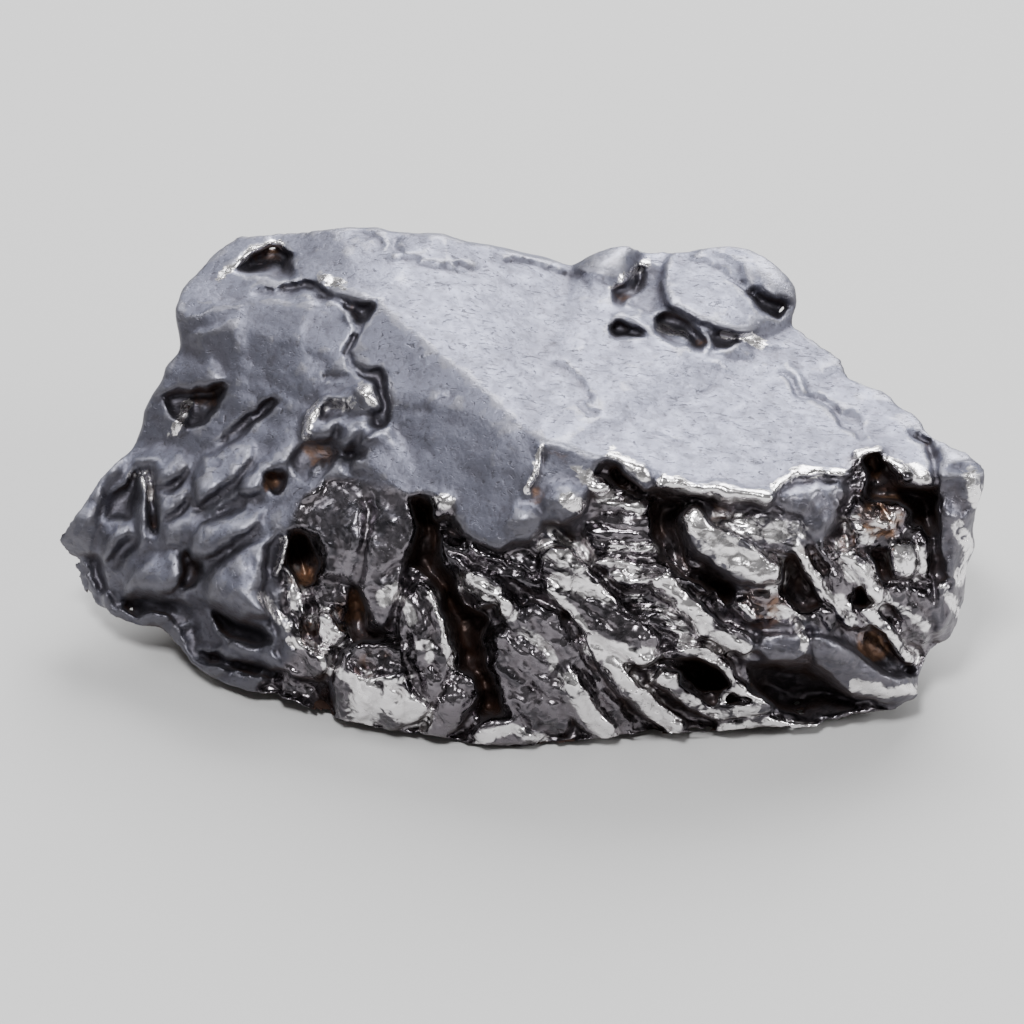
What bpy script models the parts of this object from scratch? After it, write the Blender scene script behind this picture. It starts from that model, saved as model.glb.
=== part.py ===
"""Iron meteorite: one lump of nickel-iron that rests on a small flat spot.

Its top and left are smooth skin facets. Its front is a torn zone of slabs, strands and hollows.
Lengths are in millimetres while the lump is shaped, and the finished mesh is scaled to metres.
The visible side is laid out on a picture plane that looks at the front from above: its places are
pixels, PX_PER_MM to the millimetre, and every height, depth and width is a real size.
"""
import bmesh
import bpy
import numpy as np
from math import cos, pi, radians, sin
from mathutils import Vector, noise

MM = 0.001
LENGTH = 65.0
PX_PER_MM = 14.0

# The sight line that the picture plane is square to, through the foot of the lump
SIGHT_DOWN = radians(34.0)
SIGHT_DISTANCE = 400.0
PICTURE_CENTRE = 512.0
FOOT_PIXEL = (522.0, 620.0)
RIGHT = np.array([1.0, 0.0, 0.0])
UP = np.array([0.0, sin(SIGHT_DOWN), cos(SIGHT_DOWN)])
AHEAD = np.array([0.0, cos(SIGHT_DOWN), -sin(SIGHT_DOWN)])
EYE = (-SIGHT_DISTANCE * AHEAD
       - (FOOT_PIXEL[0] - PICTURE_CENTRE) / PX_PER_MM * RIGHT
       + (FOOT_PIXEL[1] - PICTURE_CENTRE) / PX_PER_MM * UP)

# Grids of the plain and the finished form, and how far its hull is softened
ROUGH_VOXEL = 0.40
FINE_VOXEL = 0.36
SOFTENING = 0.55
TRIANGLES = 9400
CUT_WELD = 0.00001
METAL_COLOUR = (0.33, 0.32, 0.35, 1.0)
METAL_ROUGHNESS = 0.5

# Corners of the lump that the picture shows: pixel across, pixel down, height
SEEN_CORNERS = {
    "back left shoulder": (240, 235, 24.5),
    "back top": (330, 228, 25.8),
    "back top middle": (440, 236, 26.2),
    "peak": (376, 302, 25.7),
    "ridge corner": (545, 440, 22.4),
    "front top corner": (770, 498, 19.5),
    "right shoulder": (900, 445, 19.0),
    "right end top": (985, 468, 17.9),
    "right end front": (980, 522, 13.0),
    "right back edge": (850, 372, 20.5),
    "far right edge": (925, 425, 19.0),
    "top middle": (600, 265, 24.3),
    "knob left": (625, 245, 24.2),
    "knob right": (735, 246, 23.2),
    "knob end": (796, 292, 21.9),
    "left shoulder": (180, 310, 22.5),
    "left brow": (205, 268, 23.6),
    "left waist": (120, 452, 13.5),
    "left tip top": (70, 518, 9.0),
    "left tip": (57, 541, 7.0),
    "left heel": (100, 606, 3.0),
    "left sole": (190, 663, 1.2),
    "front left sole": (300, 712, 1.0),
    "front left toe": (400, 733, 0.7),
    "front toe": (510, 746, 0.6),
    "front right toe": (640, 738, 0.6),
    "right toe": (812, 730, 1.0),
    "right sole": (915, 700, 2.0),
    "right heel": (950, 640, 4.5),
    "facet foot": (500, 545, 16.0),
    "facet left": (400, 490, 17.0),
    "flank middle": (240, 530, 12.5),
    "flank front": (240, 600, 8.0),
    "front left bulge": (380, 690, 4.8),
    "front middle bulge": (560, 700, 5.0),
    "front middle waist": (560, 600, 12.0),
    "front right waist": (720, 560, 15.0),
    "front right bulge": (830, 650, 8.5),
    "front right low": (900, 690, 3.5),
}

# Corners on the far side and underneath: right, back and up from the foot
HIDDEN_CORNERS = {
    "back left high": (-19.0, 15.5, 19.0),
    "back middle high": (-4.0, 15.5, 20.5),
    "back right high": (13.0, 16.0, 18.5),
    "back left waist": (-24.0, 14.0, 11.0),
    "back middle waist": (-5.0, 17.3, 10.5),
    "back right waist": (12.0, 17.2, 9.5),
    "back right end": (24.0, 9.5, 9.0),
    "right end waist": (31.0, 1.0, 9.5),
    "left end waist": (-29.5, 6.5, 9.5),
    "back left foot": (-17.0, 11.0, 3.4),
    "back middle foot": (-2.0, 13.0, 2.6),
    "back right foot": (14.0, 11.0, 3.0),
    "right foot": (26.0, 0.5, 3.2),
    "left foot": (-25.0, 3.0, 3.6),
    "flat spot front left": (-9.0, -10.0, -0.5),
    "flat spot front right": (12.0, -10.5, -0.5),
    "flat spot back right": (11.0, 3.0, -0.5),
    "flat spot back left": (-5.0, 4.0, -0.5),
}

# The lump's outline in the picture, clockwise from the left tip
OUTLINE = [
    (57, 540), (68, 520), (83, 500), (100, 475), (115, 460), (133, 447), (139, 430), (143, 410),
    (155, 391), (161, 384), (165, 365), (180, 350), (179, 335), (175, 310), (182, 289), (200, 271),
    (217, 250), (240, 233), (280, 231), (330, 226), (382, 227), (392, 231), (440, 231), (470, 241),
    (487, 243), (530, 254), (572, 263), (590, 252), (610, 245), (625, 243), (650, 250), (690, 250),
    (710, 246), (730, 244), (750, 248), (770, 258), (787, 272), (797, 285), (799, 307), (793, 323),
    (820, 342), (845, 358), (850, 375), (880, 388), (893, 397), (900, 408), (915, 413), (926, 425),
    (928, 432), (940, 436), (952, 444), (970, 450), (982, 459), (989, 472), (987, 492), (982, 512),
    (978, 535), (978, 550), (970, 566), (966, 600), (958, 628), (950, 639), (928, 652), (918, 672),
    (917, 699), (899, 708), (870, 717), (812, 731), (716, 732), (676, 735), (600, 740), (545, 744),
    (510, 748), (470, 745), (440, 738), (400, 734), (340, 721), (300, 710), (248, 692), (209, 677),
    (192, 664), (174, 647), (158, 630), (133, 627), (112, 619), (102, 612), (80, 592), (74, 572),
]
OUTLINE_CENTRE = (520.0, 480.0)

# Relief on the top and its back band: kind, sizes, points
TOP = {
    "pit lip": ("ledge", (0.5, 1.2, 0.0, 0.5), [(222, 280), (234, 264), (246, 252), (258, 247),
         (280, 242)]),
    "upper left pit": ("sink", (2.2, 0.25, 0.35, 0.8), [(236, 272), (248, 257), (258, 250), (279, 245),
         (296, 257), (290, 262), (288, 278), (262, 276)]),
    "pit wall": ("sink", (0.9, 0.25, 0, 0.3), [(278, 248), (296, 257), (290, 276), (280, 270)]),
    "seam": ("sink", (1.3, 0.2, -0.4, 0.5), [(248, 290), (258, 286), (276, 288), (284, 284), (312, 284),
         (320, 292), (332, 298), (322, 300), (310, 293), (284, 295), (256, 296)]),
    "seam shelf": ("ledge", (0.35, 2.5, 0.0, 0.5), [(335, 318), (315, 302), (270, 299), (215, 301),
         (176, 298)]),
    "shoulder dent": ("ledge", (0.3, 2.0, 0.2, 1.6), [(246, 303), (222, 306), (200, 309), (182, 317)]),
    "shoulder dent low": ("ledge", (0.25, 2.0, 0.2, 1.4), [(240, 318), (218, 326), (198, 331),
         (184, 341)]),
    "peak pit": ("sink", (2.4, 0.25, -0.3, 0.2), [(322, 290), (336, 297), (352, 300), (378, 300),
         (370, 318), (359, 333), (348, 322), (340, 306), (326, 300)]),
    "peak crumbs": ("swell", (0.8, 0.3, 0, 0), [(338, 308), (352, 306), (360, 318), (354, 328),
         (344, 320)]),
    "peak nodule": ("swell", (0.8, 0.4, 0, -0.5), [(326, 286), (336, 279), (356, 279), (370, 288),
         (376, 298), (352, 299), (334, 296)]),
    "nodule tip": ("swell", (0.8, 0.3, 0, 0), [(315, 288), (316, 277), (324, 271), (330, 277),
         (324, 290)]),
    "peak crack": ("groove", (0.8, 6), [(359, 330), (354, 342), (346, 354)]),
    "back roll": ("swell", (0.5, 1.2, 0, -0.5), [(296, 238), (330, 222), (390, 222), (396, 246),
         (420, 252), (400, 262), (350, 262), (310, 260)]),
    "roll nicks": ("groove", (0.5, 6), [(352, 236), (362, 234), (372, 236), (380, 244)]),
    "roll notch": ("groove", (0.7, 7), [(396, 240), (394, 248), (402, 250)]),
    "back shelf": ("ledge", (0.5, 2.0, 0.3, 0.6), [(386, 255), (404, 257), (422, 262), (450, 266),
         (487, 271)]),
    "shelf slit": ("groove", (0.5, 6), [(404, 256), (418, 258)]),
    "back slot": ("sink", (1.2, 0.2, 0, 0.6), [(450, 263), (462, 260), (472, 264), (486, 270),
         (470, 271)]),
    "back crack": ("sink", (1.0, 0.2, 0.3, 0.4), [(490, 248), (498, 252), (504, 259), (530, 262),
         (556, 265), (576, 273), (572, 277), (540, 268), (506, 266), (496, 258)]),
    "back step": ("ledge", (0.4, 2.0, 0.25, 0.6), [(500, 260), (530, 262), (556, 266), (580, 274),
         (598, 296)]),
    "knob left lump": ("swell", (1.5, 0.9, -0.3, 0), [(572, 268), (592, 244), (625, 228), (660, 236),
         (640, 254), (634, 266), (626, 280), (612, 280), (590, 276)]),
    "knob block": ("swell", (2.4, 0.3, 0.55, -0.45), [(660, 270), (670, 256), (704, 250), (738, 262),
         (758, 290), (776, 320), (760, 330), (752, 336), (738, 336), (718, 330), (700, 320), (680, 312),
         (666, 308), (660, 292)]),
    "knob back": ("swell", (1.3, 0.7, 0, 0.5), [(652, 244), (690, 236), (735, 230), (775, 240),
         (806, 280), (806, 306), (792, 304), (770, 296), (748, 284), (728, 276), (700, 262), (676, 258)]),
    "knob groove": ("sink", (0.5, 0.5, 0, -0.5), [(696, 252), (716, 248), (738, 262), (752, 284),
         (732, 278), (712, 264)]),
    "knob hollow": ("sink", (2.6, 0.3, 0.3, 0.3), [(612, 284), (622, 282), (632, 274), (640, 262),
         (644, 286), (634, 296), (622, 310), (612, 302)]),
    "knob face": ("sink", (1.7, 0.3, 0.9, 0), [(634, 268), (650, 264), (662, 270), (662, 296),
         (664, 312), (648, 318), (628, 306)]),
    "knob under": ("sink", (2.6, 0.3, 0, 0.5), [(650, 318), (664, 312), (682, 314), (700, 328),
         (708, 346), (700, 353), (676, 346), (660, 338)]),
    "knob crumb": ("swell", (1.1, 0.4, 0, -0.5), [(664, 334), (672, 326), (686, 332), (696, 344),
         (682, 346)]),
    "knob notch": ("sink", (2.2, 0.2, 0, 0.3), [(608, 326), (618, 322), (630, 328), (648, 336),
         (640, 339), (614, 336)]),
    "notch flake": ("swell", (0.9, 0.3, 0, -0.4), [(608, 318), (620, 310), (640, 314), (652, 330),
         (656, 338), (644, 334), (626, 322)]),
    "knob seam": ("sink", (2.0, 0.25, 0, 0.3), [(734, 280), (748, 286), (762, 295), (778, 298),
         (788, 304), (784, 316), (776, 322), (762, 312), (750, 298)]),
    "seam tail": ("groove", (0.8, 5), [(716, 266), (732, 279), (746, 288)]),
    "knob skirt": ("sink", (1.5, 0.25, 0, 0.4), [(708, 334), (722, 331), (738, 337), (756, 341),
         (736, 344), (728, 350), (710, 350)]),
    "skirt crumbs": ("swell", (0.6, 0.25, 0, 0), [(712, 344), (724, 348), (732, 342), (742, 346),
         (760, 352), (750, 360), (726, 358)]),
    "rough band": ("sink", (0.5, 0.5, 0, 0.5), [(702, 352), (735, 346), (760, 342), (784, 344),
         (792, 358), (786, 368), (764, 364), (738, 368), (716, 364)]),
    "rough oval": ("swell", (0.35, 0.5, 0, 0), [(706, 358), (722, 353), (737, 360), (728, 369),
         (712, 368)]),
    "top dent": ("ledge", (0.0, 1.0, 0.35, 1.8), [(540, 358), (560, 366), (580, 378), (594, 394),
         (596, 408)]),
    "dent spot": ("groove", (0.45, 7), [(582, 402), (590, 409), (598, 411)]),
    "top nick": ("groove", (0.35, 4), [(699, 394), (706, 393), (714, 388)]),
    "top nick two": ("groove", (0.25, 4), [(708, 420), (722, 420)]),
    "top nick three": ("groove", (0.3, 5), [(644, 438), (652, 432), (668, 440), (684, 446)]),
    "right crack": ("groove", (0.8, 6), [(782, 372), (790, 380), (800, 394), (820, 396), (836, 409),
         (842, 426), (862, 439)]),
    "right band": ("ledge", (0.0, 1.5, 0.45, 3.0), [(900, 440), (862, 436), (842, 420), (812, 394),
         (792, 366), (782, 340)]),
    "right patch": ("sink", (0.5, 0.3, 0, 0.3), [(838, 414), (850, 412), (862, 418), (860, 432),
         (848, 436), (842, 424)]),
    "right corner pit": ("groove", (1.4, 10), [(914, 432), (926, 444), (934, 462), (936, 488)]),
    "right corner": ("swell", (0.8, 0.8, 0, 0), [(938, 440), (960, 440), (1000, 455), (1000, 480),
         (960, 480), (940, 466)]),
}

# Relief on the left flank and the front facet
FLANK = {
    "brow edge": ("ledge", (0.7, 3.0, 0.3, 0.8), [(150, 400), (164, 393), (176, 388), (206, 387),
         (228, 377)]),
    "left slab": ("swell", (1.4, 0.7, 0.4, 0), [(40, 550), (55, 515), (85, 480), (104, 452), (128, 456),
         (124, 476), (110, 490), (100, 508), (98, 530), (92, 552)]),
    "shoulder lobe": ("swell", (1.3, 0.5, 0, -0.7), [(128, 462), (140, 452), (160, 446), (186, 448),
         (190, 466), (182, 476), (168, 486), (156, 488), (152, 470), (138, 464)]),
    "fold lobe": ("swell", (1.2, 0.4, 0.3, -0.6), [(158, 492), (172, 488), (188, 482), (192, 494),
         (184, 506), (172, 516), (160, 522), (156, 506)]),
    "middle lobe": ("swell", (1.0, 0.5, 0.3, -0.6), [(164, 526), (178, 516), (192, 508), (206, 514),
         (196, 526), (186, 540), (180, 548), (164, 548)]),
    "pear": ("swell", (2.0, 0.45, 0.2, -0.7), [(196, 503), (191, 486), (194, 468), (203, 454), (222, 444),
         (246, 438), (258, 444), (254, 460), (240, 477), (224, 490), (208, 500)]),
    "leaf": ("swell", (1.4, 0.4, 0.2, -0.6), [(236, 492), (242, 478), (256, 464), (272, 448), (292, 440),
         (298, 456), (286, 468), (268, 474), (264, 494), (250, 498)]),
    "kidney": ("swell", (2.1, 0.45, 0.3, -0.7), [(192, 558), (187, 546), (190, 530), (202, 519),
         (222, 516), (246, 502), (264, 500), (268, 512), (254, 528), (236, 544), (218, 556), (206, 561)]),
    "knuckle": ("swell", (3.2, 0.55, 0.2, -0.7), [(200, 594), (202, 578), (214, 562), (234, 550),
         (256, 540), (284, 532), (292, 548), (276, 568), (266, 592), (272, 622), (258, 622), (240, 617),
         (220, 608), (204, 603)]),
    "flank lump": ("swell", (2.2, 0.5, 0, -0.7), [(122, 598), (124, 580), (136, 562), (152, 552),
         (176, 550), (184, 560), (186, 580), (178, 594), (160, 597), (142, 594)]),
    "small lobe": ("swell", (1.5, 0.4, 0, -0.6), [(100, 552), (104, 538), (116, 524), (130, 524),
         (132, 534), (120, 540), (112, 552), (110, 566), (102, 562)]),
    "lobe bay": ("sink", (0.9, 0.3, 0, 0.5), [(114, 552), (122, 542), (134, 534), (138, 548), (128, 558),
         (124, 570), (114, 568)]),
    "dark pit": ("sink", (2.6, 0.22, -0.75, 0.3), [(164, 396), (176, 390), (206, 388), (222, 381),
         (228, 376), (224, 394), (218, 409), (208, 422), (190, 430), (172, 418)]),
    "pit ring": ("swell", (0.8, 0.3, 0.6, 0), [(176, 428), (182, 408), (194, 402), (206, 410), (202, 422),
         (190, 424), (182, 436)]),
    "pit ball": ("sink", (0.7, 0.25, 0, 0), [(188, 410), (196, 406), (204, 412), (202, 421), (191, 421)]),
    "long pit": ("sink", (1.9, 0.2, -0.3, 0.6), [(206, 446), (220, 437), (236, 424), (252, 412),
         (262, 402), (274, 397), (281, 401), (274, 410), (260, 420), (246, 431), (236, 441), (222, 447)]),
    "left bowl": ("sink", (2.4, 0.35, -0.6, 0.3), [(104, 522), (106, 504), (114, 492), (126, 483),
         (139, 478), (138, 500), (134, 520)]),
    "hook": ("swell", (0.7, 0.3, -0.3, 0), [(137, 476), (142, 470), (148, 478), (148, 500), (146, 520),
         (148, 540), (138, 552), (136, 530), (138, 505)]),
    "hook shadow": ("groove", (1.9, 7), [(132, 480), (136, 472), (146, 472), (150, 486), (151, 504),
         (154, 516), (156, 532)]),
    "shadow foot": ("sink", (1.3, 0.2, 0, 0), [(150, 500), (158, 508), (160, 528), (154, 534),
         (149, 518)]),
    "crease one": ("sink", (0.9, 0.25, 0, 0.4), [(160, 487), (172, 483), (182, 474), (188, 462),
         (188, 476), (182, 486), (170, 490)]),
    "crease two": ("sink", (1.3, 0.25, 0.3, 0.2), [(160, 522), (174, 513), (183, 502), (184, 492),
         (190, 496), (186, 510), (174, 520)]),
    "pear shadow": ("sink", (1.3, 0.2, 0, 0.2), [(192, 503), (200, 504), (210, 500), (210, 505),
         (198, 511), (192, 509)]),
    "kidney crease": ("groove", (0.8, 5), [(202, 520), (214, 512), (226, 508)]),
    "brown band": ("sink", (0.8, 0.3, 0, 0.5), [(212, 514), (226, 500), (244, 492), (250, 500),
         (242, 512), (224, 519)]),
    "lobe seam": ("groove", (0.5, 6), [(232, 540), (250, 530), (262, 516), (276, 506)]),
    "pear pit": ("groove", (0.5, 5), [(211, 462), (220, 462)]),
    "pear pit two": ("groove", (0.4, 5), [(196, 474), (200, 470)]),
    "brown hole": ("sink", (2.0, 0.2, -0.2, 0.4), [(258, 478), (268, 470), (276, 473), (286, 474),
         (286, 486), (280, 498), (272, 492), (266, 482)]),
    "flank slot": ("sink", (3.0, 0.25, 0, 0.5), [(183, 556), (188, 545), (192, 558), (202, 562),
         (203, 574), (198, 583), (184, 588), (172, 600), (166, 598), (178, 584), (184, 572)]),
    "knuckle shadow": ("sink", (3.4, 0.3, 0, 0.4), [(202, 603), (216, 609), (232, 617), (250, 622),
         (264, 630), (280, 646), (262, 648), (240, 642), (222, 634), (211, 620)]),
    "shadow sill": ("swell", (0.8, 0.4, 0, 0), [(226, 644), (236, 638), (256, 650), (262, 660),
         (240, 656)]),
    "flank pit": ("sink", (1.9, 0.22, 0, 0.6), [(122, 600), (140, 596), (160, 599), (178, 600),
         (190, 606), (192, 618), (176, 620), (160, 615), (142, 621), (128, 613)]),
    "cheek plate": ("mass", (-0.9, 0.2, 0.6, 0, 0), [(188, 596), (204, 604), (214, 624), (226, 642),
         (220, 650), (196, 648), (186, 628), (192, 612)]),
    "cheek nicks": ("groove", (0.5, 5), [(184, 604), (192, 608), (190, 616), (184, 620)]),
    "low fold": ("strand", (0.6, 15, 11), [(104, 600), (110, 612), (124, 613), (138, 621), (152, 618),
         (164, 619), (173, 630), (180, 645), (190, 661), (202, 671), (216, 668), (230, 666)]),
    "low ridge": ("strand", (0.0, 12, 10), [(224, 648), (250, 654), (275, 660), (296, 672)]),
    "low shadow": ("sink", (2.8, 0.3, 0, 0.2), [(188, 650), (200, 654), (216, 653), (250, 660),
         (285, 671), (270, 679), (238, 672), (206, 662)]),
    "tip hollow": ("sink", (3.0, 0.4, 0, 0), [(58, 552), (76, 554), (98, 554), (108, 562), (108, 590),
         (100, 606), (84, 604), (72, 584)]),
    "tip tooth": ("mass", (-0.3, 0.4, 0.4, 0, 0), [(84, 577), (95, 582), (101, 600), (92, 598)]),
    "facet cleft": ("sink", (2.4, 0.22, -0.3, 0.2), [(343, 352), (350, 350), (356, 362), (366, 368),
         (380, 366), (388, 376), (393, 398), (390, 420), (380, 416), (382, 400), (374, 384), (360, 376),
         (348, 366)]),
    "facet edge": ("ledge", (0.7, 2.5, 0.6, 0.8), [(392, 418), (376, 428), (364, 441), (357, 456),
         (348, 474)]),
    "flank crack": ("groove", (0.6, 5), [(320, 386), (328, 376), (342, 377), (352, 374)]),
    "rough lobe": ("swell", (1.3, 0.4, 0, -0.5), [(302, 440), (304, 412), (316, 398), (345, 386),
         (366, 378), (380, 388), (382, 410), (370, 416), (350, 418), (338, 434), (322, 444)]),
    "rough pit": ("sink", (1.2, 0.25, 0.2, 0.5), [(318, 410), (328, 400), (346, 400), (352, 408),
         (344, 418), (332, 424), (320, 424)]),
    "rough knob": ("swell", (0.7, 0.4, 0, 0), [(350, 392), (358, 384), (372, 386), (374, 398),
         (362, 404)]),
    "rough streak": ("swell", (0.5, 0.3, 0, 0), [(306, 436), (308, 412), (316, 404), (322, 410),
         (314, 438)]),
    "rim nodule": ("swell", (1.6, 0.45, 0, -0.3), [(338, 442), (339, 426), (350, 416), (366, 414),
         (377, 426), (372, 440), (358, 448), (344, 448)]),
    "nodule shadow": ("sink", (1.8, 0.2, 0, 0.5), [(334, 436), (342, 450), (358, 450), (372, 442),
         (364, 462), (350, 462), (338, 454)]),
    "brown dent": ("sink", (1.6, 0.4, -0.4, 0.5), [(290, 456), (304, 444), (334, 436), (340, 456),
         (330, 474), (310, 490), (294, 478)]),
    "brown flake": ("swell", (0.9, 0.25, -0.4, 0), [(304, 488), (308, 472), (316, 458), (324, 460),
         (318, 476), (310, 490)]),
    "facet notch": ("sink", (1.1, 0.2, 0, 0.5), [(342, 464), (356, 472), (376, 474), (372, 479),
         (352, 478)]),
    "facet scratch": ("groove", (0.25, 4), [(398, 411), (425, 409), (440, 401), (466, 391)]),
    "facet scratch two": ("groove", (0.2, 4), [(420, 442), (424, 446), (432, 462)]),
    "fin": ("strand", (0.4, 7, 3), [(527, 490), (533, 468), (541, 446)]),
    "fin shadow": ("groove", (0.6, 5), [(534, 490), (539, 470), (545, 452)]),
}

# Where the skin ends above the torn front, and the sunken ground of the torn front
SKIN_EDGE = [
    (430, 494), (452, 500), (458, 522), (470, 540), (497, 551), (512, 540), (530, 541), (545, 524),
    (566, 520), (585, 505), (592, 478), (606, 460), (616, 464), (646, 489), (657, 482), (676, 492),
    (700, 494), (768, 505), (776, 490), (798, 468), (842, 471), (856, 455), (879, 449), (886, 456),
    (934, 478), (1010, 520), (1010, 700), (900, 790), (500, 800), (270, 760), (258, 690),
]
TORN_GROUND = [(280, 640), (268, 600), (272, 545), (286, 531), (302, 528), (318, 536), (330, 560),
               (400, 560), (412, 530), (408, 495), *SKIN_EDGE]
GROUND = {"torn front": ("sink", (2.1, 0.5, 0, 0), TORN_GROUND)}

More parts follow.
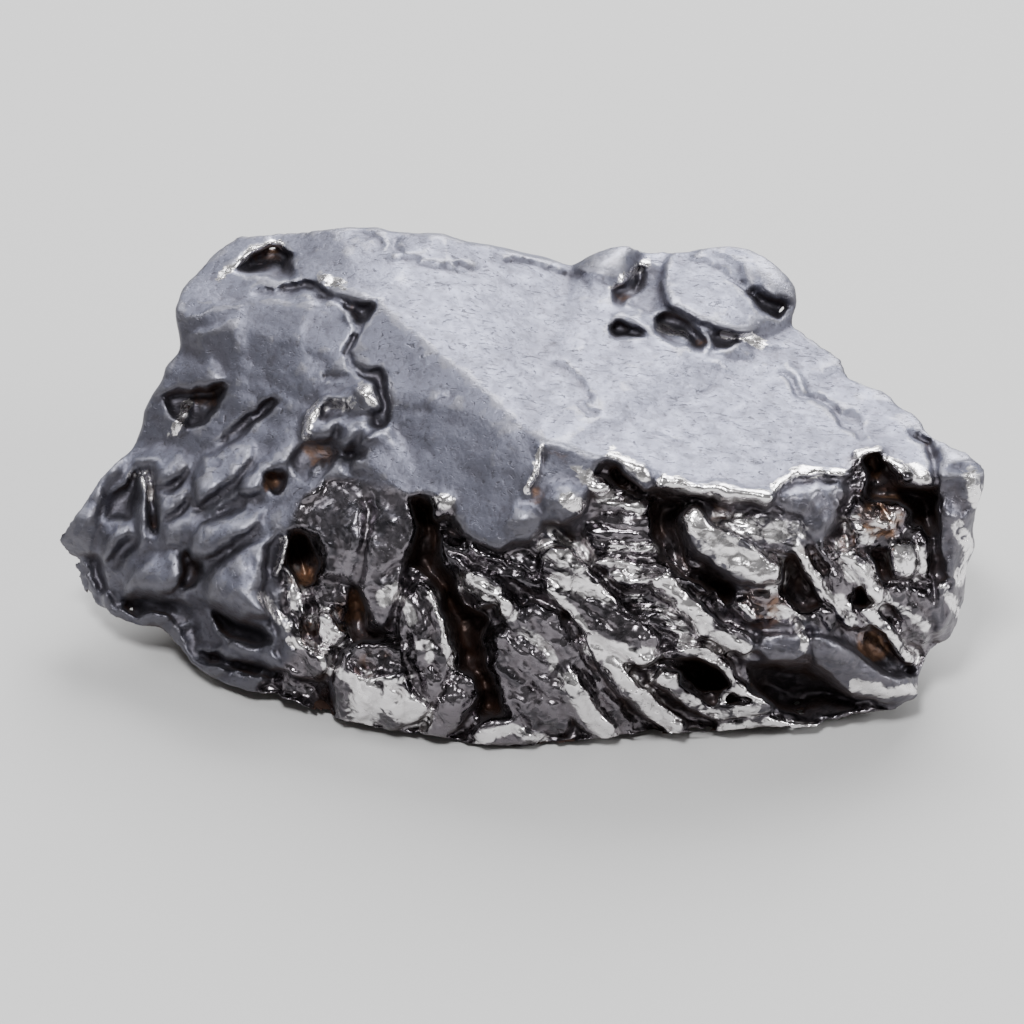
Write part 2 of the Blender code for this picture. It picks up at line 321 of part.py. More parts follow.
# Relief in the torn front, over its sunken ground
TORN = {
    "left hole": ("sink", (3.4, 0.3, 0, 0.4), [(286, 545), (296, 531), (310, 536), (318, 565), (314, 588),
         (298, 584), (288, 565)]),
    "left wall": ("mass", (-0.7, 0.2, 0.4, 0.6, 0), [(264, 548), (280, 532), (288, 540), (280, 580),
         (300, 600), (306, 640), (285, 650), (266, 625)]),
    "left streak": ("strand", (-0.2, 9, 6), [(287, 538), (281, 556), (274, 576)]),
    "left rib one": ("strand", (-0.5, 13, 9), [(268, 584), (274, 606), (286, 636)]),
    "left rib two": ("strand", (-0.8, 14, 10), [(287, 570), (294, 592), (303, 612)]),
    "left lump": ("mass", (-0.4, 0.6, 0.5, 0.3, 0), [(276, 652), (288, 640), (302, 637), (320, 650),
         (331, 668), (322, 678), (298, 676), (282, 668)]),
    "brown gap": ("sink", (2.4, 0.4, 0, 0), [(346, 584), (362, 582), (368, 606), (372, 628), (392, 632),
         (380, 640), (352, 642), (348, 612)]),
    "shelf": ("mass", (-1.6, 0.1, 0.4, 0, 0), [(302, 590), (322, 582), (348, 586), (346, 604),
         (318, 610)]),
    "bright chip": ("mass", (-0.9, 0.2, 0.3, 0, 0.5), [(317, 612), (330, 611), (349, 633), (334, 648),
         (317, 643)]),
    "tongue": ("mass", (-0.2, 0.4, 0.9, 0, 0.5), [(320, 530), (330, 505), (350, 495), (385, 495),
         (408, 506), (415, 524), (405, 552), (404, 590), (396, 614), (382, 632), (370, 628), (362, 600),
         (352, 582), (322, 578)]),
    "tongue groove": ("groove", (0.7, 14), [(366, 500), (368, 530), (362, 560), (358, 585)]),
    "tongue notch": ("groove", (0.6, 9), [(404, 560), (392, 566), (384, 578)]),
    "left boulder": ("mass", (0.3, 0.8, 0.6, 0, 0.3), [(333, 672), (342, 652), (360, 642), (400, 644),
         (412, 668), (430, 692), (430, 708), (414, 724), (392, 736), (345, 724), (333, 700)]),
    "boulder bowl": ("sink", (1.1, 0.5, 0, 0), [(344, 662), (362, 645), (396, 646), (406, 668),
         (390, 678), (362, 679)]),
    "boulder crease": ("groove", (0.4, 8), [(380, 684), (376, 704), (366, 722)]),
    "boulder left": ("groove", (0.4, 10), [(352, 684), (350, 706), (352, 722)]),
    "shard": ("mass", (-0.3, 0.2, 0.35, 0.9, 0.3), [(420, 580), (430, 588), (442, 615), (445, 642),
         (453, 671), (430, 706), (412, 690), (404, 660), (396, 636), (400, 610), (412, 596)]),
    "shard edge": ("strand", (0.2, 8, 6), [(430, 592), (441, 618), (444, 642), (452, 670)]),
    "shard foot": ("mass", (-0.1, 0.4, 0.4, 0, 0), [(454, 671), (474, 676), (480, 698), (462, 720),
         (446, 738), (420, 734), (430, 712), (442, 694)]),
    "shard crack": ("groove", (0.8, 6), [(453, 672), (442, 690), (431, 708), (424, 726)]),
    "cleft": ("sink", (4.2, 0.5, 0, 0), [(410, 498), (432, 500), (440, 522), (444, 560), (466, 600),
         (488, 615), (482, 640), (488, 668), (506, 692), (508, 712), (480, 716), (480, 690), (458, 668),
         (449, 630), (438, 592), (424, 574), (408, 562), (416, 530)]),
    "fibre ground": ("mass", (-1.7, 0.2, 0.6, 0, 0), [(438, 530), (462, 540), (500, 554), (545, 548),
         (582, 560), (600, 600), (560, 606), (530, 600), (500, 582), (470, 572), (450, 566)]),
    "fibre one": ("strand", (-1.5, 10, 6), [(442, 540), (462, 570), (480, 592)]),
    "fibre two": ("strand", (-1.1, 10, 8), [(470, 548), (505, 562), (545, 575)]),
    "fibre three": ("strand", (-1.3, 8, 8), [(480, 570), (520, 580), (560, 590)]),
    "fan lump": ("mass", (-0.3, 0.6, 0.5, 0, 0), [(460, 574), (478, 567), (500, 573), (506, 590),
         (496, 604), (478, 606)]),
    "fan lump low": ("mass", (0.0, 0.6, 0.4, 0, 0), [(494, 596), (508, 590), (520, 604), (510, 621),
         (498, 616)]),
    "mottled mass": ("mass", (-0.7, 0.3, 0.6, 0, 0.4), [(510, 616), (535, 600), (556, 608), (580, 640),
         (592, 672), (580, 700), (566, 738), (524, 740), (508, 712), (497, 692), (490, 662), (500, 636)]),
    "pebble": ("mass", (-1.0, 0.5, 0.4, 0, 0), [(486, 636), (498, 628), (508, 636), (500, 655),
         (488, 652)]),
    "toe chip": ("mass", (0.0, 0.2, 0.35, 0, 0), [(469, 735), (482, 722), (497, 715), (518, 722),
         (547, 734), (536, 746), (500, 750), (474, 744)]),
    "layered wall": ("mass", (-1.6, 0.2, 0.5, 0, -0.8), [(588, 496), (608, 488), (648, 494), (656, 540),
         (660, 592), (620, 592), (592, 560), (584, 520)]),
    "dark slot": ("sink", (1.4, 0.5, 0, 0), [(546, 521), (568, 522), (574, 540), (592, 568), (582, 574),
         (564, 550), (548, 534)]),
    "streak one": ("strand", (-0.8, 10, 8), [(612, 548), (640, 550), (658, 547)]),
    "streak two": ("strand", (-0.7, 9, 9), [(596, 560), (620, 567), (665, 567)]),
    "streak three": ("strand", (-0.6, 10, 10), [(612, 572), (630, 582), (668, 580)]),
    "blade": ("strand", (-0.5, 50, 44), [(560, 568), (585, 595), (612, 622), (636, 644)]),
    "blade tip": ("mass", (0.4, 0.3, 0.4, 0, 0.6), [(584, 630), (600, 624), (636, 636), (668, 656),
         (650, 668), (604, 664)]),
    "blade edge": ("strand", (0.1, 9, 9), [(552, 588), (570, 612), (588, 636), (600, 662)]),
    "blade crack": ("groove", (0.5, 7), [(580, 572), (572, 586), (588, 598)]),
    "web high": ("mass", (-1.3, 0.2, 0.5, 0, 0), [(618, 594), (664, 592), (700, 632), (718, 650),
         (672, 656), (650, 628)]),
    "low web": ("mass", (-1.5, 0.2, 0.5, 0, 0), [(585, 672), (610, 676), (640, 716), (660, 736),
         (600, 742), (575, 736)]),
    "low strand": ("strand", (-0.1, 28, 20), [(610, 668), (632, 690), (655, 712), (676, 726)]),
    "low strand knob": ("mass", (0.1, 0.5, 0.4, 0, 0), [(558, 690), (566, 674), (580, 676), (594, 698),
         (584, 708), (566, 704)]),
    "low strand left": ("strand", (-0.2, 22, 26), [(572, 700), (590, 716), (606, 732)]),
    "upper strand": ("strand", (-0.3, 30, 22), [(664, 584), (686, 606), (708, 628), (745, 645)]),
    "upper strand top": ("strand", (-0.9, 14, 8), [(660, 572), (684, 582), (712, 590)]),
    "loop hollow": ("sink", (3.8, 0.3, 0, 0), [(674, 662), (700, 658), (722, 670), (732, 692), (706, 692),
         (684, 680)]),
    "loop arch": ("strand", (-0.3, 14, 12), [(668, 655), (700, 652), (720, 658), (732, 680), (742, 692)]),
    "loop bar": ("strand", (-0.1, 20, 14), [(662, 682), (690, 700), (718, 714), (766, 709)]),
    "loop knob": ("mass", (0.1, 0.4, 0.3, 0, 0), [(651, 680), (662, 669), (678, 671), (683, 684),
         (670, 693), (656, 690)]),
    "small loop": ("strand", (-0.3, 8, 8), [(722, 704), (724, 692), (742, 688), (762, 702)]),
    "deep recess": ("sink", (3.2, 0.4, 0, 0), [(608, 466), (618, 464), (646, 489), (690, 499), (682, 512),
         (682, 535), (694, 562), (738, 586), (728, 604), (700, 586), (668, 566), (652, 545), (650, 500),
         (612, 486)]),
    "recess floor": ("mass", (-3.0, 0.2, 0.5, 0, 0), [(684, 545), (700, 560), (722, 574), (712, 580),
         (690, 570)]),
    "slab": ("mass", (0.1, 0.3, 0.3, -0.5, -0.5), [(682, 514), (690, 505), (706, 520), (736, 533),
         (758, 548), (784, 568), (780, 584), (742, 583), (716, 567), (690, 546)]),
    "slab edge": ("strand", (0.3, 9, 7), [(692, 509), (706, 524), (736, 537), (758, 552)]),
    "bowl slab": ("mass", (-1.0, 0.1, 0.4, 0, -0.6), [(712, 516), (740, 516), (776, 510), (800, 517),
         (812, 543), (796, 556), (762, 546), (738, 532)]),
    "grey facet": ("mass", (-0.5, 0.1, 0.4, 0, -0.5), [(774, 506), (786, 484), (800, 471), (843, 474),
         (849, 490), (840, 514), (828, 536), (812, 546), (800, 518)]),
    "facet rim": ("strand", (0.0, 8, 6), [(797, 473), (820, 471), (845, 474)]),
    "right gap": ("sink", (3.0, 0.4, 0, 0.3), [(784, 556), (802, 560), (820, 588), (830, 602), (806, 616),
         (782, 608), (778, 586)]),
    "brown ground": ("mass", (-1.8, 0.2, 0.5, 0, 0), [(732, 596), (786, 596), (806, 614), (800, 632),
         (764, 632), (738, 622)]),
    "brown crumple": ("mass", (-1.1, 0.2, 0.3, 0, 0), [(734, 600), (748, 604), (764, 622), (748, 622)]),
    "block": ("mass", (-0.3, 0.1, 0.3, 0.2, -0.4), [(756, 650), (764, 633), (797, 634), (803, 628),
         (811, 642), (808, 656), (770, 660)]),
    "ribs high": ("strand", (-0.9, 18, 14), [(796, 548), (812, 572), (832, 598)]),
    "ribs middle": ("strand", (-0.6, 20, 14), [(820, 546), (836, 570), (842, 594)]),
    "ribs bright": ("strand", (-0.3, 14, 12), [(842, 556), (848, 576), (856, 592)]),
    "long strand": ("strand", (-0.3, 20, 22), [(856, 556), (864, 574), (874, 594)]),
    "low rib one": ("strand", (-0.5, 10, 8), [(832, 594), (838, 612), (850, 627)]),
    "low rib two": ("strand", (-0.6, 10, 8), [(842, 596), (852, 612), (864, 625)]),
    "right shelf": ("mass", (-1.3, 0.2, 0.4, 0, 0), [(800, 614), (830, 602), (838, 624), (826, 634),
         (802, 628)]),
    "low slab": ("mass", (0.2, 0.2, 0.35, 0.4, 0.5), [(812, 633), (830, 638), (854, 650), (882, 672),
         (913, 674), (918, 696), (904, 704), (868, 700), (850, 694), (830, 674), (810, 656)]),
    "low slab edge": ("strand", (0.4, 9, 10), [(830, 650), (852, 668), (874, 690), (912, 692)]),
    "low hollow": ("sink", (4.0, 0.5, 0, 0), [(742, 664), (770, 660), (812, 662), (832, 682), (856, 704),
         (838, 716), (800, 718), (772, 708), (752, 686)]),
    "low lip": ("strand", (-0.5, 10, 8), [(716, 728), (760, 722), (790, 727), (815, 726)]),
    "cavity": ("sink", (3.0, 0.4, 0, 0), [(860, 460), (880, 452), (890, 466), (902, 486), (936, 488),
         (938, 530), (915, 542), (912, 512), (862, 498)]),
    "cavity wall": ("mass", (-1.0, 0.1, 0.4, 1.0, 0), [(848, 492), (852, 470), (860, 458), (868, 466),
         (862, 496)]),
    "cavity lobe": ("mass", (-0.1, 0.3, 0.4, 0, 0.4), [(884, 452), (932, 466), (934, 486), (908, 488),
         (896, 474)]),
    "brown boulder": ("mass", (-1.0, 0.8, 0.5, 0, 0), [(844, 512), (858, 500), (900, 503), (915, 516),
         (908, 534), (880, 540), (854, 541)]),
    "boulder shelf": ("mass", (-1.0, 0.1, 0.4, 0, 0), [(852, 541), (905, 534), (922, 524), (928, 536),
         (888, 548), (862, 550)]),
    "pillar": ("mass", (0.0, 0.3, 0.5, 0, 0), [(938, 472), (1000, 455), (1000, 540), (972, 576),
         (952, 580), (940, 550)]),
    "pillar face": ("sink", (0.7, 0.6, 0, 0), [(940, 482), (962, 480), (970, 500), (966, 518),
         (944, 512)]),
    "pillar rib": ("strand", (0.2, 12, 8), [(958, 525), (956, 550), (950, 574)]),
    "pillar crack": ("groove", (0.8, 7), [(974, 548), (964, 568), (960, 600)]),
    "shiny lump": ("mass", (-0.3, 0.8, 0.4, 0, 0), [(887, 550), (900, 540), (914, 540), (922, 560),
         (914, 578), (892, 580)]),
    "lump side": ("mass", (-0.8, 0.2, 0.3, 0, 0), [(918, 540), (928, 532), (932, 560), (930, 580),
         (918, 578)]),
    "small hollow": ("sink", (2.6, 0.4, 0, 0), [(866, 552), (884, 554), (888, 590), (878, 576)]),
    "gold pit": ("sink", (0.9, 0.5, 0, 0), [(858, 628), (878, 628), (892, 664), (870, 666)]),
    "right cleft": ("groove", (2.8, 12), [(858, 592), (874, 616), (892, 645), (910, 670)]),
    "right strand": ("strand", (-0.3, 16, 12), [(866, 610), (885, 626), (908, 658)]),
    "right strand top": ("strand", (-0.6, 12, 8), [(886, 594), (905, 612), (928, 628)]),
    "right fan": ("mass", (-1.0, 0.2, 0.5, 0, 0), [(886, 586), (932, 584), (938, 630), (924, 655),
         (900, 630)]),
    "right heel": ("mass", (-0.2, 0.3, 0.5, 0, 0), [(936, 582), (1000, 560), (1000, 640), (940, 655),
         (932, 620)]),
    "heel notch": ("sink", (1.0, 0.5, 0, 0), [(930, 634), (950, 626), (946, 642), (934, 646)]),
    "skin lip": ("strand", (0.4, 15, 14), [(662, 482), (698, 488), (735, 492), (768, 497)]),
    "facet lip": ("strand", (0.2, 11, 9), [(776, 492), (786, 478), (800, 470), (822, 468), (848, 472)]),
    "cavity lip": ("strand", (0.2, 9, 8), [(852, 466), (862, 454), (880, 448), (886, 458)]),
    "flake": ("mass", (0.35, 0.2, 0.4, 0, 0), [(606, 452), (622, 452), (645, 462), (650, 476), (640, 482),
         (622, 470)]),
    "ball": ("mass", (0.3, 0.9, 0.5, 0, 0), [(540, 500), (548, 486), (568, 480), (582, 492), (580, 512),
         (562, 521), (546, 516)]),
    "skin lobe": ("mass", (0.3, 0.5, 0.5, 0, 0), [(504, 520), (514, 506), (534, 506), (544, 520),
         (532, 540), (514, 538)]),
    "left nodule": ("mass", (0.2, 0.5, 0.4, 0, 0), [(430, 498), (442, 492), (454, 502), (450, 516),
         (436, 518)]),
    "bright bits": ("mass", (-0.3, 0.4, 0.4, 0, 0), [(590, 482), (600, 474), (612, 484), (610, 496),
         (596, 498)]),
}

# Unevenness of the drawn shapes, in pixels: its size and its reach, and the seed of the noise in it
WAVER = ((28.0, 3.4), (11.0, 2.6), (5.0, 1.3))
WAVER_SEED = 1795640289

# Hollows and bumps that cover whole areas, and what counts as steep
THUMBPRINT_SIZE = 9.5
THUMBPRINT_REACH = 0.62
THUMBPRINT_DEPTH = 1.5
STEEP = 0.4
CLEAR_OF_FOOT = 3.0
FOOT_CLEARANCE = 0.6
SWELL_SIZE = 3.2
SWELL_HEIGHT = 0.16

# How drawn shapes round off and fade, in millimetres or as shares of their length
DOME_EDGES = 2.5
STRAND_SIDE = 0.15
STEP_WIDTH = 0.35
STEP_FADE = 0.2

# How far round a drawn shape its relief is worked out, in pixels
FEATURE_REACH = 150

# Steps round the outline, steps that calm it toward its middle, and where its rim starts and ends
OUTLINE_STEPS = 360
CALM_STEPS = 31
RIM_START = 0.7
RIM_END = 0.98

# How squarely the eye must see a face before the relief is pressed in: not at all, and fully
GRAZING = 0.05
SQUARE_ON = 0.40


def clear_scene():
    """Remove every object from the start-up scene."""
    for item in list(bpy.data.objects):
        bpy.data.objects.remove(item, do_unlink=True)


def smooth(value):
    """Rise smoothly from 0 at 0 to 1 at 1."""
    value = np.clip(value, 0.0, 1.0)
    return value * value * (3.0 - 2.0 * value)


def to_picture(points):
    """Return the pixel across and the pixel down at which each point is seen."""
    from_eye = points - EYE
    scale = SIGHT_DISTANCE * PX_PER_MM / (from_eye @ AHEAD)
    return np.column_stack((PICTURE_CENTRE + scale * (from_eye @ RIGHT),
                            PICTURE_CENTRE - scale * (from_eye @ UP)))


def from_picture(across, down, height):
    """Return the point at a height above the foot that is seen at a pixel."""
    ray = (AHEAD * SIGHT_DISTANCE * PX_PER_MM
           + RIGHT * (across - PICTURE_CENTRE)
           + UP * (PICTURE_CENTRE - down))
    return EYE + ray * (height - EYE[2]) / ray[2]


def wavered(spots):
    """Shift each spot a few pixels by soft noise, so that drawn shapes come out uneven."""
    shifted = spots.copy()
    for size, reach in WAVER:
        shifted += reach * np.array([noise.noise_vector(Vector((x / size, y / size, size)))[:2]
                                     for x, y in spots])
    return shifted


def to_segment(spots, start, end):
    """Return each spot's distance to a straight piece of line, in pixels."""
    start = np.array(start, dtype=float)
    along = np.array(end, dtype=float) - start
    share = np.clip((spots - start) @ along / (along @ along), 0.0, 1.0)
    return np.hypot(*(spots - start - share[:, None] * along).T)


def to_line(spots, points):
    """Return each spot's distance to an open line of points, in pixels."""
    return np.min([to_segment(spots, a, b) for a, b in zip(points, points[1:])], axis=0)


def inside(spots, points):
    """Return how far each spot is inside a closed outline, in millimetres, negative outside."""
    ring = list(zip(points, points[1:] + points[:1]))
    distance = np.min([to_segment(spots, a, b) for a, b in ring], axis=0)
    within = np.zeros(len(spots), dtype=bool)
    for (ax, ay), (bx, by) in ring:
        if ay != by:
            spans = (ay > spots[:, 1]) != (by > spots[:, 1])
            within ^= spans & (spots[:, 0] < ax + (spots[:, 1] - ay) * (bx - ax) / (by - ay))
    return np.where(within, distance, -distance) / PX_PER_MM


def swell(relief, spots, points, height, rim, rise_right, rise_down):
    """Raise the ground inside an outline, fully where the rises start and less where they lead."""
    low, high = np.min(points, axis=0), np.max(points, axis=0)
    place = (spots - (low + high) / 2.0) / (high - low)
    share = 1.0 - rise_right * place[:, 0] - rise_down * place[:, 1]
    share = np.clip(share - (abs(rise_right) + abs(rise_down)) / 2.0, 0.0, 1.0)
    return relief + height * share * smooth(inside(spots, points) / rim)


def sink(relief, spots, points, depth, *sizes):
    """Sink the ground inside an outline, with a floor that rises to the right and downward."""
    return swell(relief, spots, points, -depth, *sizes)


def mass(relief, spots, points, level, dome, edge, lean_right, lean_up):
    """Set a domed block inside an outline, with its face at a level and its sides steep."""
    depth_in = inside(spots, points)
    low, high = np.min(points, axis=0), np.max(points, axis=0)
    place = (spots - (low + high) / 2.0) / (high - low)
    target = level + dome * smooth(depth_in / (DOME_EDGES * edge))
    target = target + lean_right * place[:, 0] - lean_up * place[:, 1]
    cover = smooth(depth_in / edge + 0.5)
    return relief + (target - relief) * cover


def strand(relief, spots, points, level, width, foot):
    """Lay a round-backed strand along a line, as high as a quarter of its width."""
    distance = to_line(spots, points)
    across = distance / (width / 2.0)
    back = np.sqrt(np.clip(1.0 - across * across, 0.0, 1.0))
    target = level + back * width / PX_PER_MM / 4.0
    cover = smooth((foot / 2.0 - distance) / (STRAND_SIDE * PX_PER_MM) + 0.5)
    return relief + (np.maximum(target, relief) - relief) * cover


def groove(relief, spots, points, depth, width):
    """Cut a round-edged groove along a line."""
    return relief - depth * smooth(1.2 - to_line(spots, points) / (width / 2.0))


def ledge(relief, spots, points, raised, reach, dropped, drop_reach):
    """Raise the ground left of a line and drop it right of the line, both fading away from it."""
    nearest = np.full(len(spots), np.inf)
    side = np.zeros(len(spots))
    share = np.zeros(len(spots))
    lengths = [np.hypot(b[0] - a[0], b[1] - a[1]) for a, b in zip(points, points[1:])]
    done = 0.0
    for start, end, length in zip(points, points[1:], lengths):
        distance = to_segment(spots, start, end)
        offset = spots - np.array(start)
        along = np.array(end) - np.array(start)
        closer = distance < nearest
        nearest = np.where(closer, distance, nearest)
        cross = offset[:, 0] * along[1] - offset[:, 1] * along[0]
        side = np.where(closer, np.sign(cross), side)
        place = np.clip(offset @ along / length, 0.0, length)
        share = np.where(closer, (done + place) / sum(lengths), share)
        done += length
    off = side * nearest / PX_PER_MM
    taper = smooth(share / STEP_FADE) * smooth((1.0 - share) / STEP_FADE)
    up = raised * np.exp(-np.maximum(off, 0.0) / reach)
    down = dropped * np.exp(np.minimum(off, 0.0) / drop_reach)
    step = smooth(off / STEP_WIDTH + 0.5)
    return relief + taper * (step * up - (1.0 - step) * down)


KINDS = {"swell": swell, "sink": sink, "mass": mass, "strand": strand, "groove": groove, "ledge": ledge}


def shape_relief(spots, tables):
    """Return the height of the relief toward the eye at every spot of the picture."""
    relief = np.zeros(len(spots))
    for kind, sizes, points in (feature for table in tables for feature in table.values()):
        low, high = np.min(points, axis=0) - FEATURE_REACH, np.max(points, axis=0) + FEATURE_REACH
        near = np.all((spots > low) & (spots < high), axis=1)
        relief[near] = KINDS[kind](relief[near], spots[near], points, *sizes)
    return relief


def read_points(mesh):
    """Return a mesh's vertex places as rows."""
    flat = np.empty(len(mesh.vertices) * 3, dtype=np.float32)
    mesh.vertices.foreach_get("co", flat)
    return flat.reshape(-1, 3).astype(float)


def read_normals(mesh):
    """Return a mesh's vertex normals as rows."""
    flat = np.empty(len(mesh.vertices) * 3, dtype=np.float32)
    mesh.vertex_normals.foreach_get("vector", flat)
    return flat.reshape(-1, 3).astype(float)


def write_points(mesh, points):
    """Move a mesh's vertices to new places."""
    mesh.vertices.foreach_set("co", points.astype(np.float32).ravel())
    mesh.update()


def settled(item, kind, **settings):
    """Apply one modifier to an object and keep the mesh that it gives."""
    modifier = item.modifiers.new(kind.title(), kind)
    for name, value in settings.items():
        setattr(modifier, name, value)
    bpy.context.view_layer.update()
    graph = bpy.context.evaluated_depsgraph_get()
    mesh = bpy.data.meshes.new_from_object(item.evaluated_get(graph))
    item.modifiers.clear()
    item.data = mesh


def keep_whole(item):
    """Keep the largest body of an object's mesh, without crumbs that came loose from it."""
    shell = bmesh.new()
    shell.from_mesh(item.data)
    left = set(shell.verts)
    bodies = []
    while left:
        body = {left.pop()}
        rim = set(body)
        while rim:
            rim = {edge.other_vert(vertex) for vertex in rim for edge in vertex.link_edges} & left
            left -= rim
            body |= rim
        bodies.append(body)
    bodies.sort(key=len)
    loose = [vertex for body in bodies[:-1] for vertex in body]
    bmesh.ops.delete(shell, geom=loose, context="VERTS")
    shell.to_mesh(item.data)
    shell.free()


def rough_lump(voxel):
    """Make the lump's plain form: the hull of its named corners, softened."""
    corners = [from_picture(*place) for place in SEEN_CORNERS.values()]
    corners += [np.array(place) for place in HIDDEN_CORNERS.values()]
    shell = bmesh.new()
    for place in corners:
        shell.verts.new(place)
    hull = bmesh.ops.convex_hull(shell, input=shell.verts, use_existing_faces=False)
    spare = [item for item in hull["geom_interior"] + hull["geom_unused"]
             if isinstance(item, bmesh.types.BMVert)]
    bmesh.ops.delete(shell, geom=list(set(spare)), context="VERTS")
    bmesh.ops.recalc_face_normals(shell, faces=shell.faces)
    mesh = bpy.data.meshes.new("meteorite")
    shell.to_mesh(mesh)
    shell.free()
    item = bpy.data.objects.new("meteorite", mesh)
    bpy.context.scene.collection.objects.link(item)
    settled(item, "REMESH", mode="VOXEL", voxel_size=voxel, adaptivity=0.0)
    settled(item, "SMOOTH", factor=0.5, iterations=round(SOFTENING / voxel ** 2))
    return item


def outline_reach(angles):
    """Return how far the outline is from its centre at each angle, in pixels."""
    reach = np.zeros(len(angles))
    centre = np.array(OUTLINE_CENTRE)
    for a, b in zip(OUTLINE, OUTLINE[1:] + OUTLINE[:1]):
        start, side = np.array(a) - centre, np.array(b, dtype=float) - np.array(a)
        cross = np.cos(angles) * side[1] - np.sin(angles) * side[0]
        cross = np.where(np.abs(cross) < 1e-9, 1e-9, cross)
        far = (start[0] * side[1] - start[1] * side[0]) / cross
        along = (start[0] * np.sin(angles) - start[1] * np.cos(angles)) / cross
        reach = np.where((along >= 0.0) & (along <= 1.0) & (far > reach), far, reach)
    return reach


def fit_outline(points):
    """Pull the lump in the picture plane until its edge follows the outline."""
    offsets = to_picture(points) - np.array(OUTLINE_CENTRE)
    far = np.hypot(*offsets.T)
    turn = np.arctan2(offsets[:, 1], offsets[:, 0]) % (2.0 * pi)
    angles = (np.arange(OUTLINE_STEPS) + 0.5) * 2.0 * pi / OUTLINE_STEPS
    edge = np.zeros(OUTLINE_STEPS)
    np.maximum.at(edge, (turn / (2.0 * pi) * OUTLINE_STEPS).astype(int) % OUTLINE_STEPS, far)
    sharp = outline_reach(angles) / edge
    half = CALM_STEPS // 2
    window = np.hanning(CALM_STEPS) / np.hanning(CALM_STEPS).sum()
    calm = np.convolve(np.concatenate((sharp[-half:], sharp, sharp[:half])), window, mode="valid")
    sharp_here, calm_here, edge_here = (np.interp(turn, angles, values, period=2.0 * pi)
                                        for values in (sharp, calm, edge))
    rim = smooth((far / edge_here - RIM_START) / (RIM_END - RIM_START))
    growth = calm_here + (sharp_here - calm_here) * rim
    step = offsets * (growth - 1.0)[:, None]
    scale = ((points - EYE) @ AHEAD) / (SIGHT_DISTANCE * PX_PER_MM)
    return points + (step[:, :1] * RIGHT - step[:, 1:] * UP) * scale[:, None]


def thumbprint(place):
    """Return the depth, from 0 to 1, of the thumbprint hollows at a place."""
    near = noise.voronoi(Vector(place) / THUMBPRINT_SIZE)[0]
    return 1.0 - min(1.0, (near[0] / THUMBPRINT_REACH) ** 2)


def grain(place, size, octaves):
    """Return the height, from -1 to 1, of the metal's uneven grain at a place."""
    return noise.fractal(Vector(place) / size, 0.8, 2.1, octaves)


def toward_eye(points, normals):
    """Return each point's direction to the eye, and how squarely it is seen, from 0 to 1."""
    sight = EYE - points
    sight /= np.linalg.norm(sight, axis=1)[:, None]
    square = np.sum(normals * sight, axis=1)
    return sight, smooth((square - GRAZING) / (SQUARE_ON - GRAZING))


def sculpt(mesh):
    """Press the outline, the relief, the swells and the thumbprints into the lump."""
    write_points(mesh, fit_outline(read_points(mesh)))
    points, normals = read_points(mesh), read_normals(mesh)
    sight, seen = toward_eye(points, normals)
    relief = shape_relief(wavered(to_picture(points)), (GROUND, TOP, FLANK, TORN)) * seen
    swells = np.array([grain(place, SWELL_SIZE, 2) for place in points])
    swells *= smooth((1.0 - normals[:, 2]) / STEEP)
    prints = np.array([thumbprint(place) for place in points]) * (1.0 - seen)
    prints *= smooth(points[:, 2] / CLEAR_OF_FOOT)
    floor = np.minimum(points[:, 2], FOOT_CLEARANCE)
    points += sight * relief[:, None]
    points += normals * (SWELL_HEIGHT * swells - THUMBPRINT_DEPTH * prints)[:, None]
    points[:, 2] = np.maximum(points[:, 2], floor)
    write_points(mesh, points)


def rest_flat(item):
    """Cut the flat spot that the lump rests on."""
    shell = bmesh.new()
    shell.from_mesh(item.data)
    cut = bmesh.ops.bisect_plane(shell, geom=shell.verts[:] + shell.edges[:] + shell.faces[:],
                                 dist=CUT_WELD, plane_co=(0, 0, 0), plane_no=(0, 0, -1), clear_outer=True)
    rim = [piece for piece in cut["geom_cut"] if isinstance(piece, bmesh.types.BMEdge)]
    bmesh.ops.holes_fill(shell, edges=rim, sides=0)
    bmesh.ops.triangulate(shell, faces=shell.faces)
    bmesh.ops.recalc_face_normals(shell, faces=shell.faces)
    shell.to_mesh(item.data)
    shell.free()


def set_size(item):
    """Stand the lump's middle over the origin, and scale it to its length in metres."""
    places = read_points(item.data)
    low, high = places.min(axis=0), places.max(axis=0)
    middle = (low + high) / 2.0
    places[:, :2] -= middle[:2]
    write_points(item.data, places * MM * LENGTH / (high[0] - low[0]))


def nickel_iron():
    """Make the grey metal of the lump."""
    material = bpy.data.materials.new("nickel iron")
    material.use_nodes = True
    shader = material.node_tree.nodes["Principled BSDF"]
    shader.inputs["Base Color"].default_value = METAL_COLOUR
    shader.inputs["Metallic"].default_value = 1.0
    shader.inputs["Roughness"].default_value = METAL_ROUGHNESS
    return material


def main():
    """Build the meteorite."""
    clear_scene()
    noise.seed_set(WAVER_SEED)
    item = rough_lump(ROUGH_VOXEL)
    sculpt(item.data)
    settled(item, "REMESH", mode="VOXEL", voxel_size=FINE_VOXEL, adaptivity=0.0)
    settled(item, "SMOOTH", factor=0.5, iterations=2)
    settled(item, "DECIMATE", decimate_type="COLLAPSE", ratio=TRIANGLES / (2.0 * len(item.data.polygons)))
    rest_flat(item)
    keep_whole(item)
    set_size(item)
    item.data.materials.clear()
    item.data.materials.append(nickel_iron())


if __name__ == "__main__":
    main()
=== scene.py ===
"""Iron meteorite: the finished look of the lump, its stage, lights and camera.

The lump is shaped in millimetres on a picture plane that looks at the torn front from above.
Places on it are pixels, PX_PER_MM to the millimetre, and every depth and width is a real size.
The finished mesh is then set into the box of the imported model, in metres.
"""

